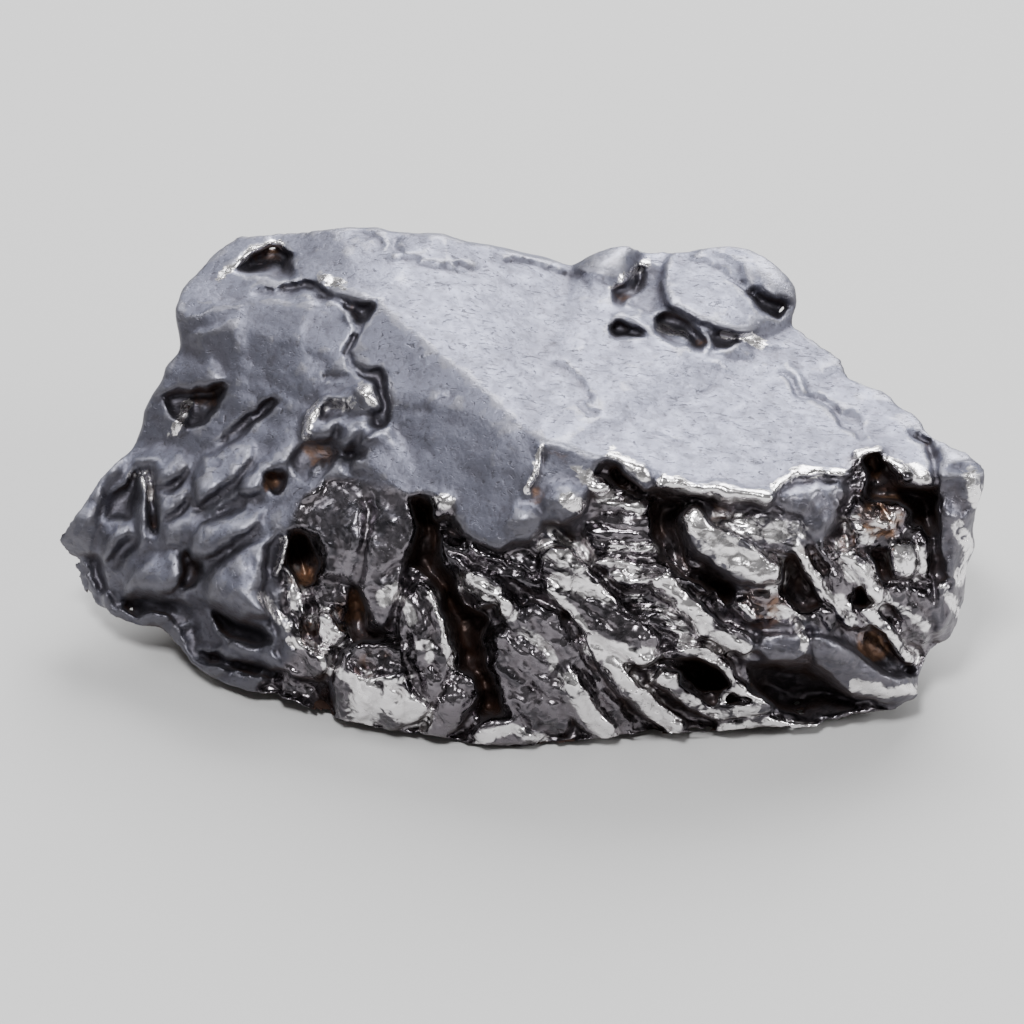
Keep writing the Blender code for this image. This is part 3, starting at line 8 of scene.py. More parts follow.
import bmesh
import bpy
import numpy as np
from bpy.props import FloatProperty, FloatVectorProperty, IntProperty, PointerProperty
from math import cos, pi, radians, sin
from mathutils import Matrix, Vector, noise
from mathutils.bvhtree import BVHTree


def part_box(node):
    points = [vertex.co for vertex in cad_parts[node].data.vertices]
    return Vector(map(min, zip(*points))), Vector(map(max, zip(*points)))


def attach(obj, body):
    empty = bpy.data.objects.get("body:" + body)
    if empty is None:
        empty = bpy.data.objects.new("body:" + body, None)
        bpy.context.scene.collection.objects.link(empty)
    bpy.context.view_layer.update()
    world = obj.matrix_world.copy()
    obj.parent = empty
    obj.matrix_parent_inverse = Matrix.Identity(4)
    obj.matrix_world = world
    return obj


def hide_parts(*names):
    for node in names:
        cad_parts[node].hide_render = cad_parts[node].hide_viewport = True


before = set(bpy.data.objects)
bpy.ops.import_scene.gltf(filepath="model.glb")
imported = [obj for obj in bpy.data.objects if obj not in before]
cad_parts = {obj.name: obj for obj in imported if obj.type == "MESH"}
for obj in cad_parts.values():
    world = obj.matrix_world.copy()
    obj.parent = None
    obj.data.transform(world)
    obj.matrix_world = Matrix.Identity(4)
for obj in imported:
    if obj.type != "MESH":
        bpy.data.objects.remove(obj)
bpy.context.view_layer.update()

bl_info = {
    "name": "Iron Meteorite",
    "version": (1, 0, 0),
    "blender": (4, 5, 0),
    "location": "3D View > Sidebar > Meteorite",
    "description": "A torn lump of nickel-iron with smooth skin facets, and a studio to show it in",
    "category": "Object",
}

NODE = "meteorite"
MM = 0.001
PX_PER_MM = 14.0
SOFTENING = 0.20
SHADE_REACH = 9.0
RAY_START = 0.05
SKY_RAYS = 22

# The sight line that the picture plane is square to, through the foot of the lump
SIGHT_DOWN = radians(34.0)
SIGHT_DISTANCE = 400.0
PICTURE_CENTRE = 512.0
FOOT_PIXEL = (522.0, 620.0)
RIGHT = np.array([1.0, 0.0, 0.0])
UP = np.array([0.0, sin(SIGHT_DOWN), cos(SIGHT_DOWN)])
AHEAD = np.array([0.0, cos(SIGHT_DOWN), -sin(SIGHT_DOWN)])
EYE = (-SIGHT_DISTANCE * AHEAD
       - (FOOT_PIXEL[0] - PICTURE_CENTRE) / PX_PER_MM * RIGHT
       + (FOOT_PIXEL[1] - PICTURE_CENTRE) / PX_PER_MM * UP)

# Corners of the lump that the picture shows: pixel across, pixel down, height
SEEN_CORNERS = {
    "back left shoulder": (240, 235, 24.5),
    "back top": (330, 228, 25.8),
    "back top middle": (440, 236, 26.2),
    "peak": (376, 302, 25.7),
    "ridge corner": (545, 440, 22.4),
    "front top corner": (770, 498, 19.5),
    "right shoulder": (900, 445, 19.0),
    "right end top": (985, 468, 17.9),
    "right end front": (980, 522, 13.0),
    "right back edge": (850, 372, 20.5),
    "far right edge": (925, 425, 19.0),
    "top middle": (600, 265, 24.3),
    "knob left": (625, 245, 24.2),
    "knob right": (735, 246, 23.2),
    "knob end": (796, 292, 21.9),
    "left shoulder": (180, 310, 22.5),
    "left brow": (205, 268, 23.6),
    "left waist": (120, 452, 13.5),
    "left tip top": (70, 518, 9.0),
    "left tip": (57, 541, 7.0),
    "left heel": (100, 606, 3.0),
    "left sole": (190, 663, 1.2),
    "front left sole": (300, 712, 1.0),
    "front left toe": (400, 733, 0.7),
    "front toe": (510, 746, 0.6),
    "front right toe": (640, 738, 0.6),
    "right toe": (812, 730, 1.0),
    "right sole": (915, 700, 2.0),
    "right heel": (950, 640, 4.5),
    "facet foot": (500, 545, 16.0),
    "facet left": (400, 490, 17.0),
    "flank middle": (240, 530, 12.5),
    "flank front": (240, 600, 8.0),
    "front left bulge": (380, 690, 4.8),
    "front middle bulge": (560, 700, 5.0),
    "front middle waist": (560, 600, 12.0),
    "front right waist": (720, 560, 15.0),
    "front right bulge": (830, 650, 8.5),
    "front right low": (900, 690, 3.5),
}

# Corners on the far side and underneath: right, back and up from the foot
HIDDEN_CORNERS = {
    "back left high": (-19.0, 15.5, 19.0),
    "back middle high": (-4.0, 15.5, 20.5),
    "back right high": (13.0, 16.0, 18.5),
    "back left waist": (-24.0, 14.0, 11.0),
    "back middle waist": (-5.0, 17.3, 10.5),
    "back right waist": (12.0, 17.2, 9.5),
    "back right end": (24.0, 9.5, 9.0),
    "right end waist": (31.0, 1.0, 9.5),
    "left end waist": (-29.5, 6.5, 9.5),
    "back left foot": (-17.0, 11.0, 3.4),
    "back middle foot": (-2.0, 13.0, 2.6),
    "back right foot": (14.0, 11.0, 3.0),
    "right foot": (26.0, 0.5, 3.2),
    "left foot": (-25.0, 3.0, 3.6),
    "flat spot front left": (-9.0, -10.0, -0.5),
    "flat spot front right": (12.0, -10.5, -0.5),
    "flat spot back right": (11.0, 3.0, -0.5),
    "flat spot back left": (-5.0, 4.0, -0.5),
}

# The lump's outline in the picture, clockwise from the left tip
OUTLINE = [
    (57, 540), (68, 520), (83, 500), (100, 475), (115, 460), (133, 447), (139, 430), (143, 410),
    (155, 391), (161, 384), (165, 365), (180, 350), (179, 335), (175, 310), (182, 289), (200, 271),
    (217, 250), (240, 233), (280, 231), (330, 226), (382, 227), (392, 231), (440, 231), (470, 241),
    (487, 243), (530, 254), (572, 263), (590, 252), (610, 245), (625, 243), (650, 250), (690, 250),
    (710, 246), (730, 244), (750, 248), (770, 258), (787, 272), (797, 285), (799, 307), (793, 323),
    (820, 342), (845, 358), (850, 375), (880, 388), (893, 397), (900, 408), (915, 413), (926, 425),
    (928, 432), (940, 436), (952, 444), (970, 450), (982, 459), (989, 472), (987, 492), (982, 512),
    (978, 535), (978, 550), (970, 566), (966, 600), (958, 628), (950, 639), (928, 652), (918, 672),
    (917, 699), (899, 708), (870, 717), (812, 731), (716, 732), (676, 735), (600, 740), (545, 744),
    (510, 748), (470, 745), (440, 738), (400, 734), (340, 721), (300, 710), (248, 692), (209, 677),
    (192, 664), (174, 647), (158, 630), (133, 627), (112, 619), (102, 612), (80, 592), (74, 572),
]
OUTLINE_CENTRE = (520.0, 480.0)

# Relief on the top and its back band: kind, sizes, points
TOP = {
    "pit lip": ("ledge", (0.5, 1.2, 0.0, 0.5), [(222, 280), (234, 264), (246, 252), (258, 247),
         (280, 242)]),
    "upper left pit": ("sink", (2.8, 0.25, 0.0, 0.35), [(236, 272), (248, 257), (258, 250), (279, 245),
         (296, 257), (290, 262), (288, 278), (262, 276)]),
    "pit wall": ("sink", (0.9, 0.25, 0, 0.3), [(278, 248), (296, 257), (290, 276), (280, 270)]),
    "seam": ("sink", (1.7, 0.25, -0.5, 0.4), [(248, 291), (258, 285), (276, 286), (284, 281), (312, 281),
         (324, 290), (336, 298), (324, 303), (308, 296), (284, 298), (256, 298)]),
    "seam shelf": ("ledge", (0.35, 2.5, 0.0, 0.5), [(335, 318), (315, 302), (270, 299), (215, 301),
         (176, 298)]),
    "shoulder dent": ("ledge", (0.3, 2.0, 0.2, 1.6), [(246, 303), (222, 306), (200, 309), (182, 317)]),
    "shoulder dent low": ("ledge", (0.25, 2.0, 0.2, 1.4), [(240, 318), (218, 326), (198, 331),
         (184, 341)]),
    "peak pit": ("sink", (2.2, 0.4, -0.5, 0.4), [(322, 290), (336, 297), (352, 300), (378, 300),
         (370, 318), (359, 333), (348, 322), (340, 306), (326, 300)]),
    "peak crumbs": ("swell", (0.8, 0.3, 0, 0), [(338, 308), (352, 306), (360, 318), (354, 328),
         (344, 320)]),
    "peak nodule": ("swell", (0.8, 0.4, 0, -0.5), [(326, 286), (336, 279), (356, 279), (370, 288),
         (376, 298), (352, 299), (334, 296)]),
    "nodule tip": ("swell", (0.8, 0.3, 0, 0), [(315, 288), (316, 277), (324, 271), (330, 277),
         (324, 290)]),
    "peak crack": ("groove", (0.8, 6), [(359, 330), (354, 342), (346, 354)]),
    "back roll": ("swell", (0.5, 1.2, 0, -0.5), [(296, 238), (330, 222), (390, 222), (396, 246),
         (420, 252), (400, 262), (350, 262), (310, 260)]),
    "roll nicks": ("groove", (0.5, 6), [(352, 236), (362, 234), (372, 236), (380, 244)]),
    "roll notch": ("groove", (0.7, 7), [(396, 240), (394, 248), (402, 250)]),
    "back shelf": ("ledge", (0.5, 2.0, 0.3, 0.6), [(386, 255), (404, 257), (422, 262), (450, 266),
         (487, 271)]),
    "shelf slit": ("groove", (0.5, 6), [(404, 256), (418, 258)]),
    "back slot": ("sink", (1.2, 0.2, 0, 0.6), [(450, 263), (462, 260), (472, 264), (486, 270),
         (470, 271)]),
    "back crack": ("sink", (1.0, 0.2, 0.3, 0.4), [(490, 248), (498, 252), (504, 259), (530, 262),
         (556, 265), (576, 273), (572, 277), (540, 268), (506, 266), (496, 258)]),
    "back step": ("ledge", (0.4, 2.0, 0.25, 0.6), [(500, 260), (530, 262), (556, 266), (580, 274),
         (598, 296)]),
    "knob left lump": ("swell", (1.5, 0.9, -0.3, 0), [(572, 268), (592, 244), (625, 228), (660, 236),
         (640, 254), (634, 266), (626, 280), (612, 280), (590, 276)]),
    "knob block": ("swell", (2.2, 0.3, 0.8, -0.6), [(660, 270), (670, 256), (704, 250), (738, 262),
         (758, 290), (776, 320), (760, 330), (752, 336), (738, 336), (718, 330), (700, 320), (680, 312),
         (666, 308), (660, 292)]),
    "knob back": ("swell", (1.6, 0.9, 0, 0.3), [(652, 244), (690, 236), (735, 230), (775, 240),
         (806, 280), (806, 306), (792, 304), (770, 296), (748, 284), (728, 276), (700, 262), (676, 258)]),
    "knob groove": ("sink", (0.5, 0.5, 0, -0.5), [(696, 252), (716, 248), (738, 262), (752, 284),
         (732, 278), (712, 264)]),
    "knob hollow": ("sink", (2.6, 0.3, 0.3, 0.3), [(612, 284), (622, 282), (632, 274), (640, 262),
         (644, 286), (634, 296), (622, 310), (612, 302)]),
    "knob face": ("sink", (1.7, 0.3, 0.9, 0), [(634, 268), (650, 264), (662, 270), (662, 296), (664, 312),
         (648, 318), (628, 306)]),
    "knob under": ("sink", (2.6, 0.3, 0, 0.5), [(650, 318), (664, 312), (682, 314), (700, 328),
         (708, 346), (700, 353), (676, 346), (660, 338)]),
    "knob crumb": ("swell", (1.1, 0.4, 0, -0.5), [(664, 334), (672, 326), (686, 332), (696, 344),
         (682, 346)]),
    "knob notch": ("sink", (2.2, 0.2, 0, 0.3), [(608, 326), (618, 322), (630, 328), (648, 336),
         (640, 339), (614, 336)]),
    "notch flake": ("swell", (0.9, 0.3, 0, -0.4), [(608, 318), (620, 310), (640, 314), (652, 330),
         (656, 338), (644, 334), (626, 322)]),
    "knob seam": ("sink", (2.0, 0.25, 0, 0.3), [(734, 280), (748, 286), (762, 295), (778, 298),
         (788, 304), (784, 316), (776, 322), (762, 312), (750, 298)]),
    "seam tail": ("groove", (0.8, 5), [(716, 266), (732, 279), (746, 288)]),
    "knob skirt": ("sink", (1.5, 0.25, 0, 0.4), [(708, 334), (722, 331), (738, 337), (756, 341),
         (736, 344), (728, 350), (710, 350)]),
    "skirt crumbs": ("swell", (0.6, 0.25, 0, 0), [(712, 344), (724, 348), (732, 342), (742, 346),
         (760, 352), (750, 360), (726, 358)]),
    "rough band": ("sink", (0.5, 0.5, 0, 0.5), [(702, 352), (735, 346), (760, 342), (784, 344),
         (792, 358), (786, 368), (764, 364), (738, 368), (716, 364)]),
    "rough oval": ("swell", (0.35, 0.5, 0, 0), [(706, 358), (722, 353), (737, 360), (728, 369),
         (712, 368)]),
    "top dent": ("ledge", (0.0, 1.0, 0.35, 1.8), [(540, 358), (560, 366), (580, 378), (594, 394),
         (596, 408)]),
    "dent spot": ("groove", (0.45, 7), [(582, 402), (590, 409), (598, 411)]),
    "top nick": ("groove", (0.35, 4), [(699, 394), (706, 393), (714, 388)]),
    "top nick two": ("groove", (0.25, 4), [(708, 420), (722, 420)]),
    "top nick three": ("groove", (0.3, 5), [(644, 438), (652, 432), (668, 440), (684, 446)]),
    "right crack": ("groove", (0.8, 6), [(782, 372), (790, 380), (800, 394), (820, 396), (836, 409),
         (842, 426), (862, 439)]),
    "right band": ("ledge", (0.0, 1.5, 0.45, 3.0), [(900, 440), (862, 436), (842, 420), (812, 394),
         (792, 366), (782, 340)]),
    "right patch": ("sink", (0.5, 0.3, 0, 0.3), [(838, 414), (850, 412), (862, 418), (860, 432),
         (848, 436), (842, 424)]),
    "right corner pit": ("groove", (1.4, 10), [(914, 432), (926, 444), (934, 462), (936, 488)]),
    "right corner": ("swell", (0.8, 0.8, 0, 0), [(938, 440), (960, 440), (1000, 455), (1000, 480),
         (960, 480), (940, 466)]),
}

# Relief on the left flank and the front facet
FLANK = {
    "brow edge": ("ledge", (0.7, 3.0, 0.3, 0.8), [(150, 400), (164, 393), (176, 388), (206, 387),
         (228, 377)]),
    "left slab": ("swell", (1.4, 0.7, 0.4, 0), [(40, 550), (55, 515), (85, 480), (104, 452), (128, 456),
         (124, 476), (110, 490), (100, 508), (98, 530), (92, 552)]),
    "shoulder lobe": ("swell", (1.3, 0.5, 0, -0.7), [(128, 462), (140, 452), (160, 446), (186, 448),
         (190, 466), (182, 476), (168, 486), (156, 488), (152, 470), (138, 464)]),
    "fold lobe": ("swell", (1.2, 0.4, 0.3, -0.6), [(158, 492), (172, 488), (188, 482), (192, 494),
         (184, 506), (172, 516), (160, 522), (156, 506)]),
    "middle lobe": ("swell", (1.0, 0.5, 0.3, -0.6), [(164, 526), (178, 516), (192, 508), (206, 514),
         (196, 526), (186, 540), (180, 548), (164, 548)]),
    "pear": ("swell", (2.0, 0.45, 0.2, -0.7), [(196, 503), (191, 486), (194, 468), (203, 454), (222, 444),
         (246, 438), (258, 444), (254, 460), (240, 477), (224, 490), (208, 500)]),
    "leaf": ("swell", (1.4, 0.4, 0.2, -0.6), [(236, 492), (242, 478), (256, 464), (272, 448), (292, 440),
         (298, 456), (286, 468), (268, 474), (264, 494), (250, 498)]),
    "kidney": ("swell", (2.1, 0.45, 0.3, -0.7), [(192, 558), (187, 546), (190, 530), (202, 519),
         (222, 516), (246, 502), (264, 500), (268, 512), (254, 528), (236, 544), (218, 556), (206, 561)]),
    "knuckle": ("swell", (3.2, 0.55, 0.2, -0.7), [(200, 594), (202, 578), (214, 562), (234, 550),
         (256, 540), (284, 532), (292, 548), (276, 568), (266, 592), (272, 622), (258, 622), (240, 617),
         (220, 608), (204, 603)]),
    "flank lump": ("swell", (2.2, 0.5, 0, -0.7), [(122, 598), (124, 580), (136, 562), (152, 552),
         (176, 550), (184, 560), (186, 580), (178, 594), (160, 597), (142, 594)]),
    "small lobe": ("swell", (1.5, 0.4, 0, -0.6), [(100, 552), (104, 538), (116, 524), (130, 524),
         (132, 534), (120, 540), (112, 552), (110, 566), (102, 562)]),
    "lobe bay": ("sink", (0.9, 0.3, 0, 0.5), [(114, 552), (122, 542), (134, 534), (138, 548), (128, 558),
         (124, 570), (114, 568)]),
    "dark pit": ("sink", (3.4, 0.22, -0.65, 0.2), [(164, 396), (176, 390), (206, 388), (222, 381),
         (228, 376), (224, 394), (218, 409), (208, 422), (190, 430), (172, 418)]),
    "pit ring": ("swell", (0.8, 0.3, 0.6, 0), [(176, 428), (182, 408), (194, 402), (206, 410), (202, 422),
         (190, 424), (182, 436)]),
    "pit ball": ("sink", (0.7, 0.25, 0, 0), [(188, 410), (196, 406), (204, 412), (202, 421), (191, 421)]),
    "long pit": ("sink", (1.9, 0.2, -0.3, 0.6), [(206, 446), (220, 437), (236, 424), (252, 412),
         (262, 402), (274, 397), (281, 401), (274, 410), (260, 420), (246, 431), (236, 441), (222, 447)]),
    "left bowl": ("sink", (2.4, 0.35, -0.6, 0.3), [(104, 522), (106, 504), (114, 492), (126, 483),
         (139, 478), (138, 500), (134, 520)]),
    "hook": ("swell", (0.7, 0.3, -0.3, 0), [(137, 476), (142, 470), (148, 478), (148, 500), (146, 520),
         (148, 540), (138, 552), (136, 530), (138, 505)]),
    "hook shadow": ("groove", (1.9, 7), [(132, 480), (136, 472), (146, 472), (150, 486), (151, 504),
         (154, 516), (156, 532)]),
    "shadow foot": ("sink", (1.3, 0.2, 0, 0), [(150, 500), (158, 508), (160, 528), (154, 534),
         (149, 518)]),
    "crease one": ("sink", (0.9, 0.25, 0, 0.4), [(160, 487), (172, 483), (182, 474), (188, 462),
         (188, 476), (182, 486), (170, 490)]),
    "crease two": ("sink", (1.3, 0.25, 0.3, 0.2), [(160, 522), (174, 513), (183, 502), (184, 492),
         (190, 496), (186, 510), (174, 520)]),
    "pear shadow": ("sink", (1.3, 0.2, 0, 0.2), [(192, 503), (200, 504), (210, 500), (210, 505),
         (198, 511), (192, 509)]),
    "kidney crease": ("groove", (0.8, 5), [(202, 520), (214, 512), (226, 508)]),
    "brown band": ("sink", (0.8, 0.3, 0, 0.5), [(212, 514), (226, 500), (244, 492), (250, 500),
         (242, 512), (224, 519)]),
    "lobe seam": ("groove", (0.5, 6), [(232, 540), (250, 530), (262, 516), (276, 506)]),
    "pear pit": ("groove", (0.5, 5), [(211, 462), (220, 462)]),
    "pear pit two": ("groove", (0.4, 5), [(196, 474), (200, 470)]),
    "brown hole": ("sink", (2.0, 0.2, -0.2, 0.4), [(258, 478), (268, 470), (276, 473), (286, 474),
         (286, 486), (280, 498), (272, 492), (266, 482)]),
    "flank slot": ("sink", (3.0, 0.25, 0, 0.5), [(183, 556), (188, 545), (192, 558), (202, 562),
         (203, 574), (198, 583), (184, 588), (172, 600), (166, 598), (178, 584), (184, 572)]),
    "knuckle shadow": ("sink", (3.4, 0.3, 0, 0.4), [(202, 603), (216, 609), (232, 617), (250, 622),
         (264, 630), (280, 646), (262, 648), (240, 642), (222, 634), (211, 620)]),
    "shadow sill": ("swell", (0.8, 0.4, 0, 0), [(226, 644), (236, 638), (256, 650), (262, 660),
         (240, 656)]),
    "flank pit": ("sink", (1.9, 0.22, 0, 0.6), [(122, 600), (140, 596), (160, 599), (178, 600),
         (190, 606), (192, 618), (176, 620), (160, 615), (142, 621), (128, 613)]),
    "cheek plate": ("mass", (-0.9, 0.2, 0.6, 0, 0), [(188, 596), (204, 604), (214, 624), (226, 642),
         (220, 650), (196, 648), (186, 628), (192, 612)]),
    "cheek nicks": ("groove", (0.5, 5), [(184, 604), (192, 608), (190, 616), (184, 620)]),
    "low fold": ("strand", (0.6, 15, 11), [(104, 600), (110, 612), (124, 613), (138, 621), (152, 618),
         (164, 619), (173, 630), (180, 645), (190, 661), (202, 671), (216, 668), (230, 666)]),
    "low ridge": ("strand", (0.0, 12, 10), [(224, 648), (250, 654), (275, 660), (296, 672)]),
    "low shadow": ("sink", (2.8, 0.3, 0, 0.2), [(188, 650), (200, 654), (216, 653), (250, 660),
         (285, 671), (270, 679), (238, 672), (206, 662)]),
    "tip hollow": ("sink", (1.7, 0.5, 0, 0), [(58, 552), (76, 554), (98, 554), (108, 562), (108, 590),
         (100, 606), (84, 604), (72, 584)]),
    "tip tooth": ("mass", (-0.3, 0.4, 0.4, 0, 0), [(84, 577), (95, 582), (101, 600), (92, 598)]),
    "facet cleft": ("sink", (1.8, 0.4, -0.5, 0.4), [(343, 352), (350, 350), (356, 362), (366, 368),
         (380, 366), (388, 376), (393, 398), (390, 420), (380, 416), (382, 400), (374, 384), (360, 376),
         (348, 366)]),
    "facet edge": ("ledge", (0.9, 2.5, 0.9, 0.9), [(392, 418), (376, 428), (364, 441), (357, 456),
         (348, 474)]),
    "flank crack": ("groove", (0.6, 5), [(320, 386), (328, 376), (342, 377), (352, 374)]),
    "rough lobe": ("swell", (1.3, 0.4, 0, -0.5), [(302, 440), (304, 412), (316, 398), (345, 386),
         (366, 378), (380, 388), (382, 410), (370, 416), (350, 418), (338, 434), (322, 444)]),
    "rough pit": ("sink", (1.2, 0.25, 0.2, 0.5), [(318, 410), (328, 400), (346, 400), (352, 408),
         (344, 418), (332, 424), (320, 424)]),
    "rough knob": ("swell", (0.7, 0.4, 0, 0), [(350, 392), (358, 384), (372, 386), (374, 398),
         (362, 404)]),
    "rough streak": ("swell", (0.5, 0.3, 0, 0), [(306, 436), (308, 412), (316, 404), (322, 410),
         (314, 438)]),
    "rim nodule": ("swell", (1.6, 0.45, 0, -0.3), [(338, 442), (339, 426), (350, 416), (366, 414),
         (377, 426), (372, 440), (358, 448), (344, 448)]),
    "nodule shadow": ("sink", (1.8, 0.2, 0, 0.5), [(334, 436), (342, 450), (358, 450), (372, 442),
         (364, 462), (350, 462), (338, 454)]),
    "brown dent": ("sink", (1.6, 0.4, -0.4, 0.5), [(290, 456), (304, 444), (334, 436), (340, 456),
         (330, 474), (310, 490), (294, 478)]),
    "brown flake": ("swell", (0.9, 0.25, -0.4, 0), [(304, 488), (308, 472), (316, 458), (324, 460),
         (318, 476), (310, 490)]),
    "facet notch": ("sink", (1.1, 0.2, 0, 0.5), [(342, 464), (356, 472), (376, 474), (372, 479),
         (352, 478)]),
    "facet scratch": ("groove", (0.25, 4), [(398, 411), (425, 409), (440, 401), (466, 391)]),
    "facet scratch two": ("groove", (0.2, 4), [(420, 442), (424, 446), (432, 462)]),
    "fin": ("strand", (0.4, 7, 3), [(527, 490), (533, 468), (541, 446)]),
    "fin shadow": ("groove", (0.6, 5), [(534, 490), (539, 470), (545, 452)]),
}

# Where the skin ends above the torn front, and the sunken ground of the torn front
SKIN_EDGE = [
    (430, 494), (452, 500), (458, 522), (470, 540), (497, 551), (512, 540), (530, 541), (545, 524),
    (566, 520), (585, 505), (592, 478), (606, 460), (616, 464), (646, 489), (657, 482), (676, 492),
    (700, 494), (768, 505), (776, 490), (798, 468), (842, 471), (856, 455), (879, 449), (886, 456),
    (934, 478), (1010, 520), (1010, 700), (900, 790), (500, 800), (270, 760), (258, 690),
]
TORN_GROUND = [(280, 640), (268, 600), (272, 545), (286, 531), (302, 528), (318, 536), (330, 560),
               (400, 560), (412, 530), (408, 495), *SKIN_EDGE]
GROUND = {"torn front": ("sink", (2.1, 0.5, 0, 0), TORN_GROUND)}

